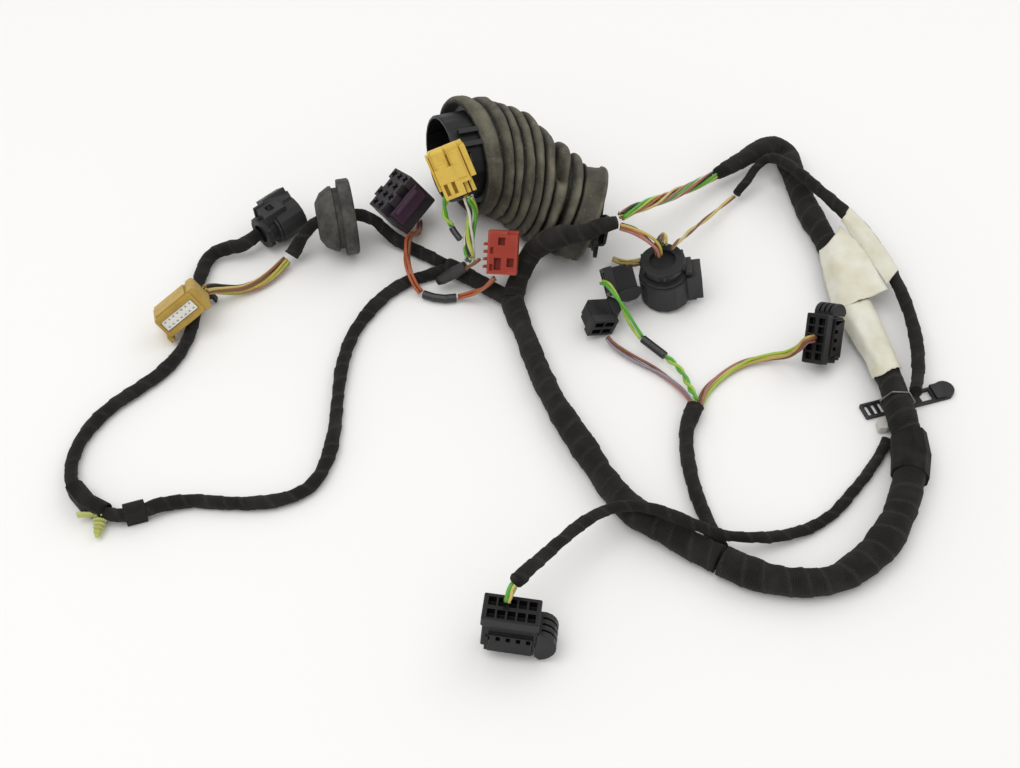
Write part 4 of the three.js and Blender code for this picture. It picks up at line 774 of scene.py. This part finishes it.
LABELS = [
    ("label_main", 12, [
        [[159.0, 72.0, 9.0], [161.9, 71.7, 13.0], [165.7, 75.1, 15.5], [170.2, 82.6, 17.0]],
        [[159.1, 60.4, 8.0], [163.9, 58.4, 14.5], [172.8, 64.2, 16.0], [179.1, 66.3, 17.5]],
        [[159.8, 46.4, 7.5], [165.6, 42.3, 14.8], [175.1, 46.1, 16.0], [184.0, 50.6, 16.5]],
        [[160.7, 31.4, 7.0], [164.8, 26.9, 14.8], [175.0, 31.5, 15.0], [188.6, 39.0, 14.5]],
    ]),
    ("label_lower", 13, [
        [[161.7, 30.6, 8.0], [165.2, 28.1, 14.2], [171.6, 30.4, 14.6], [179.5, 35.2, 10.0]],
        [[165.4, 18.1, 6.5], [168.4, 14.0, 14.0], [174.3, 17.0, 14.4], [181.6, 21.3, 9.0]],
        [[169.5, 5.1, 6.0], [172.2, 0.7, 14.0], [177.6, 3.8, 14.2], [184.2, 6.2, 8.5]],
        [[174.9, -13.5, 6.0], [176.4, -18.2, 14.2], [180.1, -16.5, 14.0], [185.7, -10.5, 8.5]],
    ]),
    ("label_upper", 14, [
        [[171.2, 85.7, 17.0], [172.5, 86.8, 19.5], [175.9, 92.8, 19.0]],
        [[177.0, 71.8, 16.5], [179.6, 74.5, 19.0], [183.4, 80.8, 18.0]],
        [[182.7, 57.4, 15.5], [186.2, 61.7, 17.0], [190.6, 67.9, 16.0]],
        [[189.2, 44.0, 13.0], [192.1, 47.3, 14.0], [196.7, 53.8, 12.5]],
    ]),
]
FILM_THICKNESS = 0.22


def smooth_row(points, count):
    """Evenly spaced points on a smooth curve through some points, before centring."""
    line, _ = centre_line([[*p, 1] for p in points], 0.3)
    picks = np.linspace(0, len(line) - 1, count).round().astype(int)
    return line[picks, :3] - CENTRING


def label_sheet(node, seed, rows):
    across, down = 22, 44
    strips = np.array([smooth_row(r, across) for r in rows])
    sheet = np.array([smooth_row(strips[:, k], down) for k in range(across)])
    runs = [centre_line(raised(route), 1)[0] for route in (UPPER_TRUNK, SIDE_BRANCH)]
    bm = new_mesh()
    grid, column, row = wrapped_grid(bm, across - 1, down - 1)
    for k, v in enumerate(grid):
        point = Vector((sheet[column[k], row[k]] + CENTRING).tolist())
        point.z += noise.noise(point * 0.11 + Vector((seed, 0, 0))) * 1.3 + noise.noise(point * 0.3) * 0.5
        for run in runs:
            nearest = run[np.argmin(((run[:, :3] - np.array(point)) ** 2).sum(axis=1))]
            out = point - Vector(nearest[:3].tolist())
            clear = float(nearest[3]) + 0.75
            if out.length < clear:
                point = Vector(nearest[:3].tolist()) + out.normalized() * clear
        v.co = point * MM
    for face in bm.faces:
        face.smooth = True
    skin = list(bm.faces)
    bmesh.ops.recalc_face_normals(bm, faces=skin)
    bmesh.ops.solidify(bm, geom=skin, thickness=FILM_THICKNESS * MM)
    close_and_keep(bm, node + "_sheet", FILM, [node])


for node, seed, rows in LABELS:
    label_sheet(node, seed, rows)


# Floor and light

def pale_floor(tree, place):
    # Matt painted board, nearly white
    return {"Base Color": linear("#f4f3f1"), "Roughness": 0.9, "Specular IOR Level": 0.1}


def stage():
    bm = bmesh.new()
    bmesh.ops.create_circle(bm, cap_ends=True, segments=64, radius=6)
    mesh = bpy.data.meshes.new("floor")
    bm.to_mesh(mesh)
    bm.free()
    mesh.materials.append(material("matt pale board", pale_floor))
    floor = bpy.data.objects.new("floor", mesh)
    bpy.context.collection.objects.link(floor)
    world = bpy.data.worlds.new("soft light")
    world.use_nodes = True
    world.node_tree.nodes["Background"].inputs["Color"].default_value = (1, 1, 1, 1)
    world.node_tree.nodes["Background"].inputs["Strength"].default_value = 0.72
    bpy.context.scene.world = world
    for name, place, size, power in (("key", (-0.5, -0.3, 1.5), 1.3, 9), ("fill", (0.9, 0.7, 1.2), 1.2, 4)):
        data = bpy.data.lights.new(name, "AREA")
        data.size = size
        data.energy = power
        lamp = bpy.data.objects.new(name, data)
        lamp.location = place
        lamp.rotation_euler = (-Vector(place)).to_track_quat("-Z", "Y").to_euler()
        bpy.context.collection.objects.link(lamp)


stage()
bpy.context.scene.view_settings.view_transform = "Standard"
